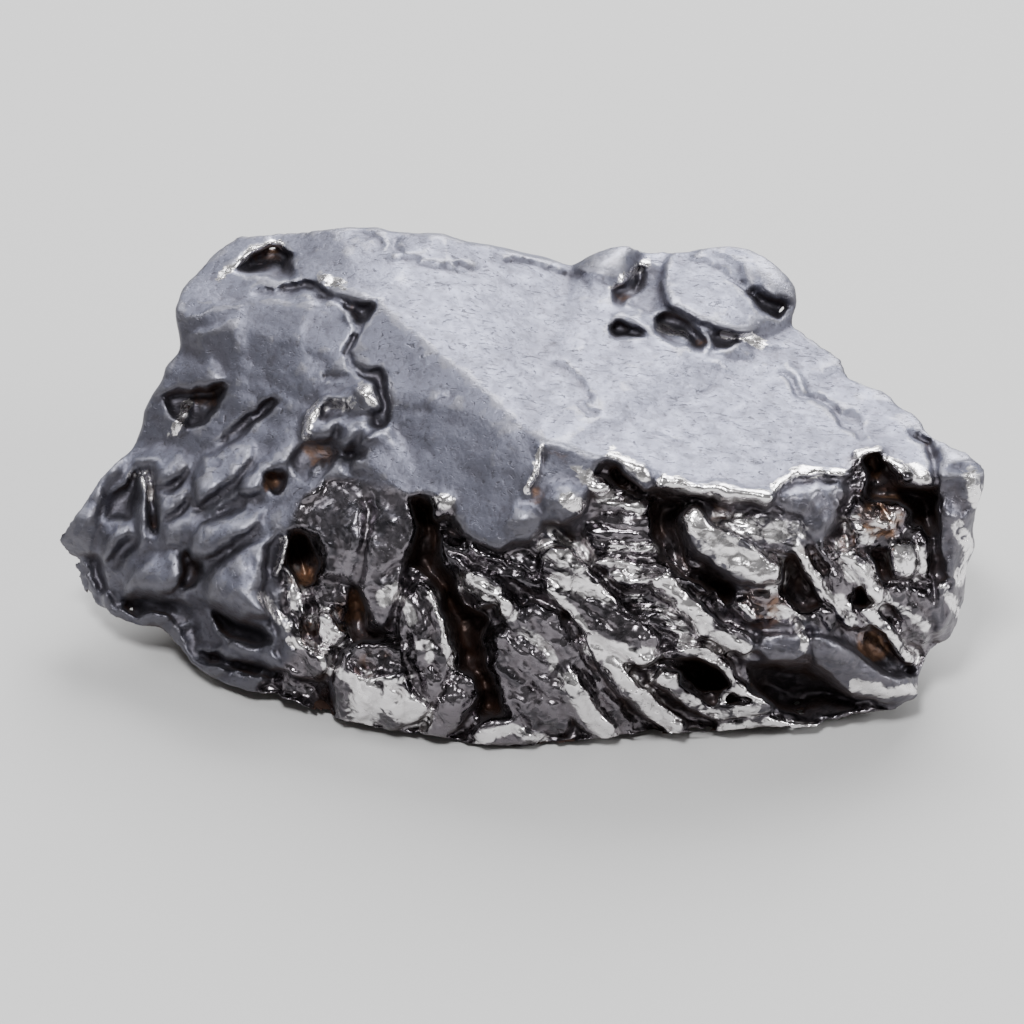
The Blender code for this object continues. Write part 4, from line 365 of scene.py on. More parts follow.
# Relief in the torn front, over its sunken ground
TORN = {
    "left hole": ("sink", (3.4, 0.3, 0, 0.4), [(286, 545), (296, 531), (310, 536), (318, 565), (314, 588),
         (298, 584), (288, 565)]),
    "left wall": ("mass", (-0.7, 0.2, 0.4, 0.6, 0), [(264, 548), (280, 532), (288, 540), (280, 580),
         (300, 600), (306, 640), (285, 650), (266, 625)]),
    "left streak": ("strand", (-0.2, 9, 6), [(287, 538), (281, 556), (274, 576)]),
    "left rib one": ("strand", (-0.5, 13, 9), [(268, 584), (274, 606), (286, 636)]),
    "left rib two": ("strand", (-0.8, 14, 10), [(287, 570), (294, 592), (303, 612)]),
    "left lump": ("mass", (-0.4, 0.6, 0.5, 0.3, 0), [(276, 652), (288, 640), (302, 637), (320, 650),
         (331, 668), (322, 678), (298, 676), (282, 668)]),
    "brown gap": ("sink", (2.4, 0.4, 0, 0), [(346, 584), (362, 582), (368, 606), (372, 628), (392, 632),
         (380, 640), (352, 642), (348, 612)]),
    "shelf": ("mass", (-1.6, 0.1, 0.4, 0, 0), [(302, 590), (322, 582), (348, 586), (346, 604),
         (318, 610)]),
    "bright chip": ("mass", (-0.9, 0.2, 0.3, 0, 0.5), [(317, 612), (330, 611), (349, 633), (334, 648),
         (317, 643)]),
    "tongue": ("mass", (-0.2, 0.4, 0.9, 0, 0.5), [(320, 530), (330, 505), (350, 495), (385, 495),
         (408, 506), (415, 524), (405, 552), (404, 590), (396, 614), (382, 632), (370, 628), (362, 600),
         (352, 582), (322, 578)]),
    "tongue groove": ("groove", (0.7, 14), [(366, 500), (368, 530), (362, 560), (358, 585)]),
    "tongue notch": ("groove", (0.6, 9), [(404, 560), (392, 566), (384, 578)]),
    "left boulder": ("mass", (0.3, 0.8, 0.6, 0, 0.3), [(333, 672), (342, 652), (360, 642), (400, 644),
         (412, 668), (430, 692), (430, 708), (414, 724), (392, 736), (345, 724), (333, 700)]),
    "boulder bowl": ("sink", (1.1, 0.5, 0, 0), [(344, 662), (362, 645), (396, 646), (406, 668),
         (390, 678), (362, 679)]),
    "boulder crease": ("groove", (0.4, 8), [(380, 684), (376, 704), (366, 722)]),
    "boulder left": ("groove", (0.4, 10), [(352, 684), (350, 706), (352, 722)]),
    "shard": ("mass", (-0.3, 0.2, 0.35, 0.9, 0.3), [(420, 580), (430, 588), (442, 615), (445, 642),
         (453, 671), (430, 706), (412, 690), (404, 660), (396, 636), (400, 610), (412, 596)]),
    "shard edge": ("strand", (0.2, 8, 6), [(430, 592), (441, 618), (444, 642), (452, 670)]),
    "shard foot": ("mass", (-0.1, 0.4, 0.4, 0, 0), [(454, 671), (474, 676), (480, 698), (462, 720),
         (446, 738), (420, 734), (430, 712), (442, 694)]),
    "shard crack": ("groove", (0.8, 6), [(453, 672), (442, 690), (431, 708), (424, 726)]),
    "cleft": ("sink", (4.2, 0.5, 0, 0), [(410, 498), (432, 500), (440, 522), (444, 560), (466, 600),
         (488, 615), (482, 640), (488, 668), (506, 692), (508, 712), (480, 716), (480, 690), (458, 668),
         (449, 630), (438, 592), (424, 574), (408, 562), (416, 530)]),
    "fibre ground": ("mass", (-1.7, 0.2, 0.6, 0, 0), [(438, 530), (462, 540), (500, 554), (545, 548),
         (582, 560), (600, 600), (560, 606), (530, 600), (500, 582), (470, 572), (450, 566)]),
    "fibre one": ("strand", (-1.5, 10, 6), [(442, 540), (462, 570), (480, 592)]),
    "fibre two": ("strand", (-1.1, 10, 8), [(470, 548), (505, 562), (545, 575)]),
    "fibre three": ("strand", (-1.3, 8, 8), [(480, 570), (520, 580), (560, 590)]),
    "fan lump": ("mass", (-0.3, 0.6, 0.5, 0, 0), [(460, 574), (478, 567), (500, 573), (506, 590),
         (496, 604), (478, 606)]),
    "fan lump low": ("mass", (0.0, 0.6, 0.4, 0, 0), [(494, 596), (508, 590), (520, 604), (510, 621),
         (498, 616)]),
    "mottled mass": ("mass", (-0.7, 0.3, 0.6, 0, 0.4), [(510, 616), (535, 600), (556, 608), (580, 640),
         (592, 672), (580, 700), (566, 738), (524, 740), (508, 712), (497, 692), (490, 662), (500, 636)]),
    "pebble": ("mass", (-1.0, 0.5, 0.4, 0, 0), [(486, 636), (498, 628), (508, 636), (500, 655),
         (488, 652)]),
    "toe chip": ("mass", (0.0, 0.2, 0.35, 0, 0), [(469, 735), (482, 722), (497, 715), (518, 722),
         (547, 734), (536, 746), (500, 750), (474, 744)]),
    "layered wall": ("mass", (-1.6, 0.2, 0.5, 0, -0.8), [(588, 496), (608, 488), (648, 494), (656, 540),
         (660, 592), (620, 592), (592, 560), (584, 520)]),
    "dark slot": ("sink", (1.4, 0.5, 0, 0), [(546, 521), (568, 522), (574, 540), (592, 568), (582, 574),
         (564, 550), (548, 534)]),
    "streak one": ("strand", (-0.8, 10, 8), [(612, 548), (640, 550), (658, 547)]),
    "streak two": ("strand", (-0.7, 9, 9), [(596, 560), (620, 567), (665, 567)]),
    "streak three": ("strand", (-0.6, 10, 10), [(612, 572), (630, 582), (668, 580)]),
    "blade": ("strand", (-0.5, 50, 44), [(560, 568), (585, 595), (612, 622), (636, 644)]),
    "blade tip": ("mass", (0.4, 0.3, 0.4, 0, 0.6), [(584, 630), (600, 624), (636, 636), (668, 656),
         (650, 668), (604, 664)]),
    "blade edge": ("strand", (0.1, 9, 9), [(552, 588), (570, 612), (588, 636), (600, 662)]),
    "blade crack": ("groove", (0.5, 7), [(580, 572), (572, 586), (588, 598)]),
    "web high": ("mass", (-1.3, 0.2, 0.5, 0, 0), [(618, 594), (664, 592), (700, 632), (718, 650),
         (672, 656), (650, 628)]),
    "low web": ("mass", (-1.5, 0.2, 0.5, 0, 0), [(585, 672), (610, 676), (640, 716), (660, 736),
         (600, 742), (575, 736)]),
    "low strand": ("strand", (-0.1, 28, 20), [(610, 668), (632, 690), (655, 712), (676, 726)]),
    "low strand knob": ("mass", (0.1, 0.5, 0.4, 0, 0), [(558, 690), (566, 674), (580, 676), (594, 698),
         (584, 708), (566, 704)]),
    "low strand left": ("strand", (-0.2, 22, 26), [(572, 700), (590, 716), (606, 732)]),
    "upper strand": ("strand", (-0.3, 30, 22), [(664, 584), (686, 606), (708, 628), (745, 645)]),
    "upper strand top": ("strand", (-0.9, 14, 8), [(660, 572), (684, 582), (712, 590)]),
    "loop hollow": ("sink", (3.8, 0.3, 0, 0), [(674, 662), (700, 658), (722, 670), (732, 692), (706, 692),
         (684, 680)]),
    "loop arch": ("strand", (-0.3, 14, 12), [(668, 655), (700, 652), (720, 658), (732, 680), (742, 692)]),
    "loop bar": ("strand", (-0.1, 20, 14), [(662, 682), (690, 700), (718, 714), (766, 709)]),
    "loop knob": ("mass", (0.1, 0.4, 0.3, 0, 0), [(651, 680), (662, 669), (678, 671), (683, 684),
         (670, 693), (656, 690)]),
    "small loop": ("strand", (-0.3, 8, 8), [(722, 704), (724, 692), (742, 688), (762, 702)]),
    "deep recess": ("sink", (3.2, 0.4, 0, 0), [(608, 466), (618, 464), (646, 489), (690, 499), (682, 512),
         (682, 535), (694, 562), (738, 586), (728, 604), (700, 586), (668, 566), (652, 545), (650, 500),
         (612, 486)]),
    "recess floor": ("mass", (-3.0, 0.2, 0.5, 0, 0), [(684, 545), (700, 560), (722, 574), (712, 580),
         (690, 570)]),
    "slab": ("mass", (0.1, 0.3, 0.3, -0.5, -0.5), [(682, 514), (690, 505), (706, 520), (736, 533),
         (758, 548), (784, 568), (780, 584), (742, 583), (716, 567), (690, 546)]),
    "slab edge": ("strand", (0.3, 9, 7), [(692, 509), (706, 524), (736, 537), (758, 552)]),
    "bowl slab": ("mass", (-1.0, 0.1, 0.4, 0, -0.6), [(712, 516), (740, 516), (776, 510), (800, 517),
         (812, 543), (796, 556), (762, 546), (738, 532)]),
    "grey facet": ("mass", (-0.5, 0.1, 0.4, 0, -0.5), [(774, 506), (786, 484), (800, 471), (843, 474),
         (849, 490), (840, 514), (828, 536), (812, 546), (800, 518)]),
    "facet rim": ("strand", (0.0, 8, 6), [(797, 473), (820, 471), (845, 474)]),
    "right gap": ("sink", (3.0, 0.4, 0, 0.3), [(784, 556), (802, 560), (820, 588), (830, 602), (806, 616),
         (782, 608), (778, 586)]),
    "brown ground": ("mass", (-1.8, 0.2, 0.5, 0, 0), [(732, 596), (786, 596), (806, 614), (800, 632),
         (764, 632), (738, 622)]),
    "brown crumple": ("mass", (-1.1, 0.2, 0.3, 0, 0), [(734, 600), (748, 604), (764, 622), (748, 622)]),
    "block": ("mass", (-0.3, 0.1, 0.3, 0.2, -0.4), [(756, 650), (764, 633), (797, 634), (803, 628),
         (811, 642), (808, 656), (770, 660)]),
    "ribs high": ("strand", (-0.9, 18, 14), [(796, 548), (812, 572), (832, 598)]),
    "ribs middle": ("strand", (-0.6, 20, 14), [(820, 546), (836, 570), (842, 594)]),
    "ribs bright": ("strand", (-0.3, 14, 12), [(842, 556), (848, 576), (856, 592)]),
    "long strand": ("strand", (-0.3, 20, 22), [(856, 556), (864, 574), (874, 594)]),
    "low rib one": ("strand", (-0.5, 10, 8), [(832, 594), (838, 612), (850, 627)]),
    "low rib two": ("strand", (-0.6, 10, 8), [(842, 596), (852, 612), (864, 625)]),
    "right shelf": ("mass", (-1.3, 0.2, 0.4, 0, 0), [(800, 614), (830, 602), (838, 624), (826, 634),
         (802, 628)]),
    "low slab": ("mass", (0.2, 0.2, 0.35, 0.4, 0.5), [(812, 633), (830, 638), (854, 650), (882, 672),
         (913, 674), (918, 696), (904, 704), (868, 700), (850, 694), (830, 674), (810, 656)]),
    "low slab edge": ("strand", (0.4, 9, 10), [(830, 650), (852, 668), (874, 690), (912, 692)]),
    "low hollow": ("sink", (4.0, 0.5, 0, 0), [(742, 664), (770, 660), (812, 662), (832, 682), (856, 704),
         (838, 716), (800, 718), (772, 708), (752, 686)]),
    "low lip": ("strand", (-0.5, 10, 8), [(716, 728), (760, 722), (790, 727), (815, 726)]),
    "cavity": ("sink", (3.0, 0.4, 0, 0), [(860, 460), (880, 452), (890, 466), (902, 486), (936, 488),
         (938, 530), (915, 542), (912, 512), (862, 498)]),
    "cavity wall": ("mass", (-1.0, 0.1, 0.4, 1.0, 0), [(848, 492), (852, 470), (860, 458), (868, 466),
         (862, 496)]),
    "cavity lobe": ("mass", (-0.1, 0.3, 0.4, 0, 0.4), [(884, 452), (932, 466), (934, 486), (908, 488),
         (896, 474)]),
    "brown boulder": ("mass", (-1.0, 0.8, 0.5, 0, 0), [(844, 512), (858, 500), (900, 503), (915, 516),
         (908, 534), (880, 540), (854, 541)]),
    "boulder shelf": ("mass", (-1.0, 0.1, 0.4, 0, 0), [(852, 541), (905, 534), (922, 524), (928, 536),
         (888, 548), (862, 550)]),
    "pillar": ("mass", (0.0, 0.3, 0.5, 0, 0), [(938, 472), (1000, 455), (1000, 540), (972, 576),
         (952, 580), (940, 550)]),
    "pillar face": ("sink", (0.7, 0.6, 0, 0), [(940, 482), (962, 480), (970, 500), (966, 518),
         (944, 512)]),
    "pillar rib": ("strand", (0.2, 12, 8), [(958, 525), (956, 550), (950, 574)]),
    "pillar crack": ("groove", (0.8, 7), [(974, 548), (964, 568), (960, 600)]),
    "shiny lump": ("mass", (-0.3, 0.8, 0.4, 0, 0), [(887, 550), (900, 540), (914, 540), (922, 560),
         (914, 578), (892, 580)]),
    "lump side": ("mass", (-0.8, 0.2, 0.3, 0, 0), [(918, 540), (928, 532), (932, 560), (930, 580),
         (918, 578)]),
    "small hollow": ("sink", (2.6, 0.4, 0, 0), [(866, 552), (884, 554), (888, 590), (878, 576)]),
    "gold pit": ("sink", (0.9, 0.5, 0, 0), [(858, 628), (878, 628), (892, 664), (870, 666)]),
    "right cleft": ("groove", (2.8, 12), [(858, 592), (874, 616), (892, 645), (910, 670)]),
    "right strand": ("strand", (-0.3, 16, 12), [(866, 610), (885, 626), (908, 658)]),
    "right strand top": ("strand", (-0.6, 12, 8), [(886, 594), (905, 612), (928, 628)]),
    "right fan": ("mass", (-1.0, 0.2, 0.5, 0, 0), [(886, 586), (932, 584), (938, 630), (924, 655),
         (900, 630)]),
    "right heel": ("mass", (-0.2, 0.3, 0.5, 0, 0), [(936, 582), (1000, 560), (1000, 640), (940, 655),
         (932, 620)]),
    "heel notch": ("sink", (1.0, 0.5, 0, 0), [(930, 634), (950, 626), (946, 642), (934, 646)]),
    "skin lip": ("strand", (0.4, 15, 14), [(662, 482), (698, 488), (735, 492), (768, 497)]),
    "facet lip": ("strand", (0.2, 11, 9), [(776, 492), (786, 478), (800, 470), (822, 468), (848, 472)]),
    "cavity lip": ("strand", (0.2, 9, 8), [(852, 466), (862, 454), (880, 448), (886, 458)]),
    "flake": ("mass", (0.35, 0.2, 0.4, 0, 0), [(606, 452), (622, 452), (645, 462), (650, 476), (640, 482),
         (622, 470)]),
    "ball": ("mass", (0.3, 0.9, 0.5, 0, 0), [(540, 500), (548, 486), (568, 480), (582, 492), (580, 512),
         (562, 521), (546, 516)]),
    "skin lobe": ("mass", (0.3, 0.5, 0.5, 0, 0), [(504, 520), (514, 506), (534, 506), (544, 520),
         (532, 540), (514, 538)]),
    "left nodule": ("mass", (0.2, 0.5, 0.4, 0, 0), [(430, 498), (442, 492), (454, 502), (450, 516),
         (436, 518)]),
    "bright bits": ("mass", (-0.3, 0.4, 0.4, 0, 0), [(590, 482), (600, 474), (612, 484), (610, 496),
         (596, 498)]),
}

# The torn front with its walls, where the skin's fine scratches stop
TORN_EDGE = [(296, 655), (280, 605), (283, 556), (292, 532), (298, 506), (312, 488), (338, 478),
             (380, 486), (405, 493), *SKIN_EDGE]

# The rough part of the skin, on the left flank
FLANK_SKIN = [
    (40, 560), (90, 460), (150, 390), (230, 372), (300, 330), (345, 345), (392, 372), (388, 422),
    (360, 450), (345, 480), (300, 500), (262, 540), (262, 600), (300, 680), (180, 680), (60, 640),
]

# Grain of the torn metal: direction in degrees below level, height, size across and along in mm,
# gloss from skin at 0 to bright torn metal at 1, outline
FIBRES = {
    "tongue": (80, 0.28, 1.60, 3.5, 0.8, [(300, 545), (315, 505), (340, 484), (412, 492), (412, 590),
         (380, 636), (345, 590)]),
    "left ribs": (65, 0.90, 0.90, 4.0, 1.0, [(284, 545), (300, 530), (318, 600), (306, 655), (290, 640)]),
    "boulder": (70, 0.60, 1.10, 1.5, 1.0, [(333, 640), (410, 640), (430, 700), (392, 740), (333, 724)]),
    "shard": (75, 0.80, 1.00, 2.6, 1.0, [(404, 578), (440, 590), (455, 670), (430, 706), (396, 640)]),
    "middle": (25, 1.00, 0.80, 6.0, 1.0, [(438, 520), (545, 540), (600, 600), (500, 610), (450, 575)]),
    "mottled": (48, 0.90, 1.10, 2.4, 0.9, [(500, 600), (560, 600), (600, 690), (570, 745), (500, 740),
         (488, 650)]),
    "layers": (3, 0.65, 0.70, 3.4, 1.0, [(586, 480), (655, 490), (665, 590), (610, 595), (584, 540)]),
    "blade": (38, 0.45, 1.00, 5.0, 1.0, [(540, 545), (600, 560), (668, 655), (600, 668)]),
    "web": (12, 1.10, 0.75, 4.5, 1.0, [(615, 590), (668, 580), (720, 655), (660, 660)]),
    "low web": (50, 1.20, 0.90, 5.0, 1.0, [(560, 670), (620, 665), (690, 735), (590, 745)]),
    "upper strand": (45, 0.60, 0.90, 5.0, 1.0, [(656, 575), (690, 585), (750, 640), (735, 660),
         (690, 625)]),
    "slab": (40, 0.30, 1.30, 3.0, 0.35, [(680, 505), (706, 505), (790, 560), (786, 588), (735, 590),
         (688, 550)]),
    "bowl slab": (15, 0.50, 0.90, 3.5, 0.7, [(706, 500), (776, 500), (806, 515), (815, 545), (794, 560),
         (740, 535)]),
    "grey facet": (120, 0.30, 1.00, 3.0, 0.3, [(772, 505), (786, 466), (850, 466), (852, 495), (830, 545),
         (806, 550)]),
    "right": (52, 0.80, 0.90, 5.0, 1.0, [(790, 545), (860, 540), (940, 585), (935, 640), (880, 670),
         (800, 620)]),
    "boulders": (20, 0.80, 1.20, 2.0, 0.9, [(840, 498), (915, 495), (925, 545), (845, 550)]),
    "shiny lump": (85, 0.35, 1.20, 3.0, 1.0, [(880, 535), (935, 530), (935, 585), (885, 585)]),
    "pillar": (95, 0.45, 1.10, 4.0, 0.3, [(936, 450), (1000, 440), (990, 590), (950, 600), (936, 560)]),
    "heel": (100, 0.50, 1.00, 4.0, 0.6, [(932, 580), (990, 575), (980, 650), (930, 650)]),
    "low slab": (35, 0.25, 1.20, 3.5, 0.3, [(748, 626), (812, 622), (860, 640), (925, 670), (925, 712),
         (850, 700), (812, 662), (750, 664)]),
    "hollow": (10, 0.80, 1.40, 3.0, 0.6, [(738, 662), (812, 662), (856, 704), (838, 720), (760, 716)]),
    "skin lobes": (60, 0.20, 1.40, 2.4, 0.4, [(500, 500), (590, 470), (590, 525), (545, 545),
         (500, 550)]),
}

# Painted highlights, laid as bright metal: half width in pixels, strength, line of pixels
PAINTED_HIGHLIGHTS = {
    "left streak": (4, 0.9, [(284, 540), (279, 556), (275, 572)]),
    "left ribs": (7, 0.7, [(291, 568), (294, 586), (298, 604)]),
    "left edge": (5, 0.6, [(264, 598), (272, 612), (288, 628)]),
    "left lump rim": (5, 1.0, [(293, 643), (310, 645), (322, 655), (329, 668)]),
    "chip": (13, 1.0, [(324, 620), (336, 636)]),
    "tongue tip": (8, 0.7, [(384, 600), (398, 592)]),
    "boulder rim": (4, 0.8, [(338, 670), (358, 682), (392, 680), (408, 676)]),
    "boulder front": (15, 1.0, [(366, 690), (366, 712)]),
    "boulder right": (15, 1.0, [(394, 700), (414, 714)]),
    "shard edge": (4, 1.0, [(431, 592), (442, 618), (444, 640), (452, 668)]),
    "shard left": (4, 0.7, [(406, 604), (412, 620)]),
    "shard crescent": (4, 0.6, [(418, 646), (430, 642), (430, 660)]),
    "nodule": (7, 0.6, [(438, 500), (448, 504)]),
    "fan": (8, 0.8, [(466, 580), (482, 588), (496, 594)]),
    "fan low": (9, 1.0, [(498, 600), (510, 610)]),
    "blade top": (16, 0.6, [(556, 548), (574, 560)]),
    "blade cross": (8, 0.8, [(558, 580), (580, 586), (604, 594)]),
    "blade edge": (4, 1.0, [(553, 590), (574, 618), (590, 640), (598, 656)]),
    "blade foot": (9, 1.0, [(594, 646), (620, 655), (652, 658)]),
    "left low strand": (9, 0.9, [(568, 682), (584, 702), (600, 724), (612, 736)]),
    "low strand": (9, 0.95, [(614, 668), (630, 680), (648, 702), (672, 726)]),
    "mass flecks": (5, 0.5, [(522, 632), (546, 646), (556, 672)]),
    "layer one": (4, 0.9, [(612, 547), (655, 549)]),
    "layer two": (4, 0.8, [(598, 560), (640, 569)]),
    "layer three": (4, 0.8, [(610, 575), (668, 580)]),
    "high layer": (5, 0.6, [(600, 500), (640, 508)]),
    "bright bits": (7, 0.9, [(584, 474), (598, 484), (606, 494)]),
    "upper strand": (10, 0.9, [(664, 585), (688, 606), (704, 624)]),
    "upper strand end": (8, 0.8, [(716, 640), (746, 650)]),
    "web flecks": (6, 0.5, [(636, 600), (660, 612), (690, 640)]),
    "loop arch": (6, 0.9, [(684, 644), (712, 654), (726, 680)]),
    "loop knob": (8, 0.7, [(658, 678), (674, 682)]),
    "loop bar": (5, 0.6, [(684, 698), (718, 713), (756, 712)]),
    "small loop": (4, 0.8, [(724, 700), (738, 690), (762, 702)]),
    "low lip": (4, 0.8, [(720, 728), (764, 724), (812, 726)]),
    "toe": (5, 0.7, [(478, 740), (512, 730), (545, 740)]),
    "slab top": (8, 1.0, [(689, 512), (698, 528)]),
    "slab middle": (15, 0.75, [(712, 540), (742, 556), (776, 574)]),
    "bowl": (10, 0.5, [(722, 518), (756, 530), (796, 530)]),
    "lip": (6, 1.0, [(664, 481), (700, 490), (766, 498)]),
    "facet rim": (4, 0.9, [(776, 488), (796, 471), (842, 471)]),
    "cavity lobe": (6, 0.7, [(888, 462), (924, 476)]),
    "cavity peak": (4, 0.7, [(860, 456), (876, 449)]),
    "golden": (9, 0.5, [(850, 524), (868, 536), (892, 520)]),
    "shiny lump": (15, 0.95, [(900, 556), (914, 562)]),
    "long strand": (8, 0.9, [(842, 548), (852, 574)]),
    "long strand low": (9, 1.0, [(864, 574), (876, 598)]),
    "ribs": (7, 0.6, [(838, 600), (852, 622)]),
    "ribs high": (5, 0.7, [(796, 548), (812, 572), (832, 598)]),
    "right strand": (6, 0.7, [(868, 612), (888, 634), (912, 658)]),
    "right strand top": (4, 0.6, [(886, 596), (926, 628)]),
    "pillar edge": (7, 0.7, [(972, 474), (978, 500)]),
    "pillar rib": (6, 0.6, [(960, 528), (970, 552), (958, 578)]),
    "heel": (5, 0.45, [(942, 588), (960, 616)]),
    "low slab rim": (5, 0.9, [(852, 686), (880, 692), (914, 690)]),
    "block edge": (4, 0.8, [(801, 630), (805, 650)]),
    "crystals": (6, 0.6, [(738, 604), (752, 616)]),
    "more crystals": (6, 0.6, [(776, 612), (800, 620)]),
    "ball": (7, 1.0, [(566, 498), (578, 504)]),
    "fin": (3, 0.9, [(527, 490), (541, 446)]),
    "flake": (5, 0.9, [(612, 454), (630, 462), (645, 474)]),
    "upper pit lip": (4, 0.9, [(222, 278), (239, 261), (254, 249), (280, 244)]),
    "pit edge": (4, 0.8, [(172, 432), (190, 404)]),
    "rough rim": (5, 0.8, [(314, 406), (308, 438)]),
    "rough knob": (6, 0.7, [(362, 386), (372, 398)]),
    "rough floor": (6, 0.4, [(328, 406), (350, 402)]),
    "peak nodule": (5, 0.7, [(320, 276), (342, 286)]),
    "knob skirt": (4, 0.9, [(724, 334), (764, 342)]),
    "knob crumbs": (4, 0.5, [(660, 328), (684, 336)]),
    "knob rim": (4, 0.5, [(612, 284), (628, 274), (646, 264)]),
    "hook": (4, 0.5, [(132, 474), (144, 474), (150, 500)]),
}

# Where brown and golden rust shows in the picture: pixel across, pixel down, reach in pixels, strength
RUST = [
    (204, 400, 16, 0.5), (248, 424, 14, 0.3), (268, 256, 18, 0.5), (270, 482, 12, 0.7), (318, 456, 20, 0.5),
    (352, 312, 12, 0.4), (303, 575, 16, 0.8), (350, 606, 18, 0.8), (312, 628, 12, 0.5), (372, 660, 22, 0.4),
    (534, 495, 12, 0.5), (560, 458, 20, 0.4), (520, 510, 10, 0.4), (722, 514, 14, 0.5),
    (766, 606, 30, 0.6), (740, 690, 20, 0.3), (872, 466, 14, 0.5), (882, 516, 26, 1.0), (846, 545, 14, 0.5),
    (872, 646, 18, 1.0), (836, 566, 16, 0.3), (700, 346, 12, 0.4), (626, 296, 14, 0.4), (925, 450, 12, 0.4),
    (560, 560, 20, 0.2), (650, 520, 22, 0.3), (806, 560, 14, 0.5), (452, 690, 14, 0.3),
]

# Unevenness of the drawn shapes, in pixels: its size and its reach
WAVER = ((28.0, 3.4), (11.0, 2.6), (5.0, 1.3))

# Hollows and bumps that cover whole areas, and what counts as steep
THUMBPRINT_SIZE = 9.5
THUMBPRINT_REACH = 0.62
THUMBPRINT_DEPTH = 1.5
STEEP = 0.4
CLEAR_OF_FOOT = 3.0
FOOT_CLEARANCE = 0.6
SWELL_SIZE = 3.2
SWELL_HEIGHT = 0.16

# How drawn shapes round off and fade, in millimetres or as shares of their length
DOME_EDGES = 2.5
BULGE_RISE = 1.5
STRAND_SIDE = 0.15
STEP_WIDTH = 0.35
STEP_FADE = 0.2

# How far round a drawn shape its relief is worked out, in pixels
FEATURE_REACH = 150

# Steps round the outline, steps that calm it toward its middle, and where its rim starts and ends
OUTLINE_STEPS = 360
CALM_STEPS = 31
RIM_START = 0.7
RIM_END = 0.98

# How squarely the eye must see a face before the relief is pressed in: not at all, and fully
GRAZING = 0.05
SQUARE_ON = 0.40

# Crumpled torn metal: the size of its hollows and their depth, coarse to fine, and the grain over it
CRUMPLE = ((4.6, 1.8), (1.9, 0.9), (0.8, 0.22))
SKIN_CRUMPLE = ((2.3, 0.30), (0.9, 0.09))
GRAIN_SIZE = 2.6
GRAIN_HEIGHT = 0.10


def smooth(value):
    """Rise smoothly from 0 at 0 to 1 at 1."""
    value = np.clip(value, 0.0, 1.0)
    return value * value * (3.0 - 2.0 * value)


def bulge(value):
    """Rise from 0 at 0, steeply at first and then ever more gently, toward 1."""
    return 1.0 - np.exp(-BULGE_RISE * np.maximum(value, 0.0))


def to_picture(points):
    """Return the pixel across and the pixel down at which each point is seen."""
    from_eye = points - EYE
    scale = SIGHT_DISTANCE * PX_PER_MM / (from_eye @ AHEAD)
    return np.column_stack((PICTURE_CENTRE + scale * (from_eye @ RIGHT),
                            PICTURE_CENTRE - scale * (from_eye @ UP)))


def from_picture(across, down, height):
    """Return the point at a height above the foot that is seen at a pixel."""
    ray = (AHEAD * SIGHT_DISTANCE * PX_PER_MM
           + RIGHT * (across - PICTURE_CENTRE)
           + UP * (PICTURE_CENTRE - down))
    return EYE + ray * (height - EYE[2]) / ray[2]


def wavered(spots):
    """Shift each spot a few pixels by soft noise, so that drawn shapes come out uneven."""
    shifted = spots.copy()
    for size, reach in WAVER:
        shifted += reach * np.array([noise.noise_vector(Vector((x / size, y / size, size)))[:2]
                                     for x, y in spots])
    return shifted


def to_segment(spots, start, end):
    """Return each spot's distance to a straight piece of line, in pixels."""
    start = np.array(start, dtype=float)
    along = np.array(end, dtype=float) - start
    share = np.clip((spots - start) @ along / (along @ along), 0.0, 1.0)
    return np.hypot(*(spots - start - share[:, None] * along).T)


def to_line(spots, points):
    """Return each spot's distance to an open line of points, in pixels."""
    return np.min([to_segment(spots, a, b) for a, b in zip(points, points[1:])], axis=0)


def inside(spots, points):
    """Return how far each spot is inside a closed outline, in millimetres, negative outside."""
    ring = list(zip(points, points[1:] + points[:1]))
    distance = np.min([to_segment(spots, a, b) for a, b in ring], axis=0)
    within = np.zeros(len(spots), dtype=bool)
    for (ax, ay), (bx, by) in ring:
        if ay != by:
            spans = (ay > spots[:, 1]) != (by > spots[:, 1])
            within ^= spans & (spots[:, 0] < ax + (spots[:, 1] - ay) * (bx - ax) / (by - ay))
    return np.where(within, distance, -distance) / PX_PER_MM


def swell(relief, spots, points, height, rim, rise_right, rise_down):
    """Raise the ground inside an outline, fully where the rises start and less where they lead."""
    low, high = np.min(points, axis=0), np.max(points, axis=0)
    place = (spots - (low + high) / 2.0) / (high - low)
    share = 1.0 - rise_right * place[:, 0] - rise_down * place[:, 1]
    share = np.clip(share - (abs(rise_right) + abs(rise_down)) / 2.0, 0.0, 1.0)
    return relief + height * share * bulge(inside(spots, points) / rim)


def sink(relief, spots, points, depth, *sizes):
    """Sink the ground inside an outline, with a floor that rises to the right and downward."""
    return swell(relief, spots, points, -depth, *sizes)


def mass(relief, spots, points, level, dome, edge, lean_right, lean_up):
    """Set a domed block inside an outline, with its face at a level and its sides steep."""
    depth_in = inside(spots, points)
    low, high = np.min(points, axis=0), np.max(points, axis=0)
    place = (spots - (low + high) / 2.0) / (high - low)
    target = level + dome * smooth(depth_in / (DOME_EDGES * edge))
    target = target + lean_right * place[:, 0] - lean_up * place[:, 1]
    cover = smooth(depth_in / edge + 0.5)
    return relief + (target - relief) * cover


def strand(relief, spots, points, level, width, foot):
    """Lay a round-backed strand along a line, as high as a quarter of its width."""
    distance = to_line(spots, points)
    across = distance / (width / 2.0)
    back = np.sqrt(np.clip(1.0 - across * across, 0.0, 1.0))
    target = level + back * width / PX_PER_MM / 4.0
    cover = smooth((foot / 2.0 - distance) / (STRAND_SIDE * PX_PER_MM) + 0.5)
    return relief + (np.maximum(target, relief) - relief) * cover


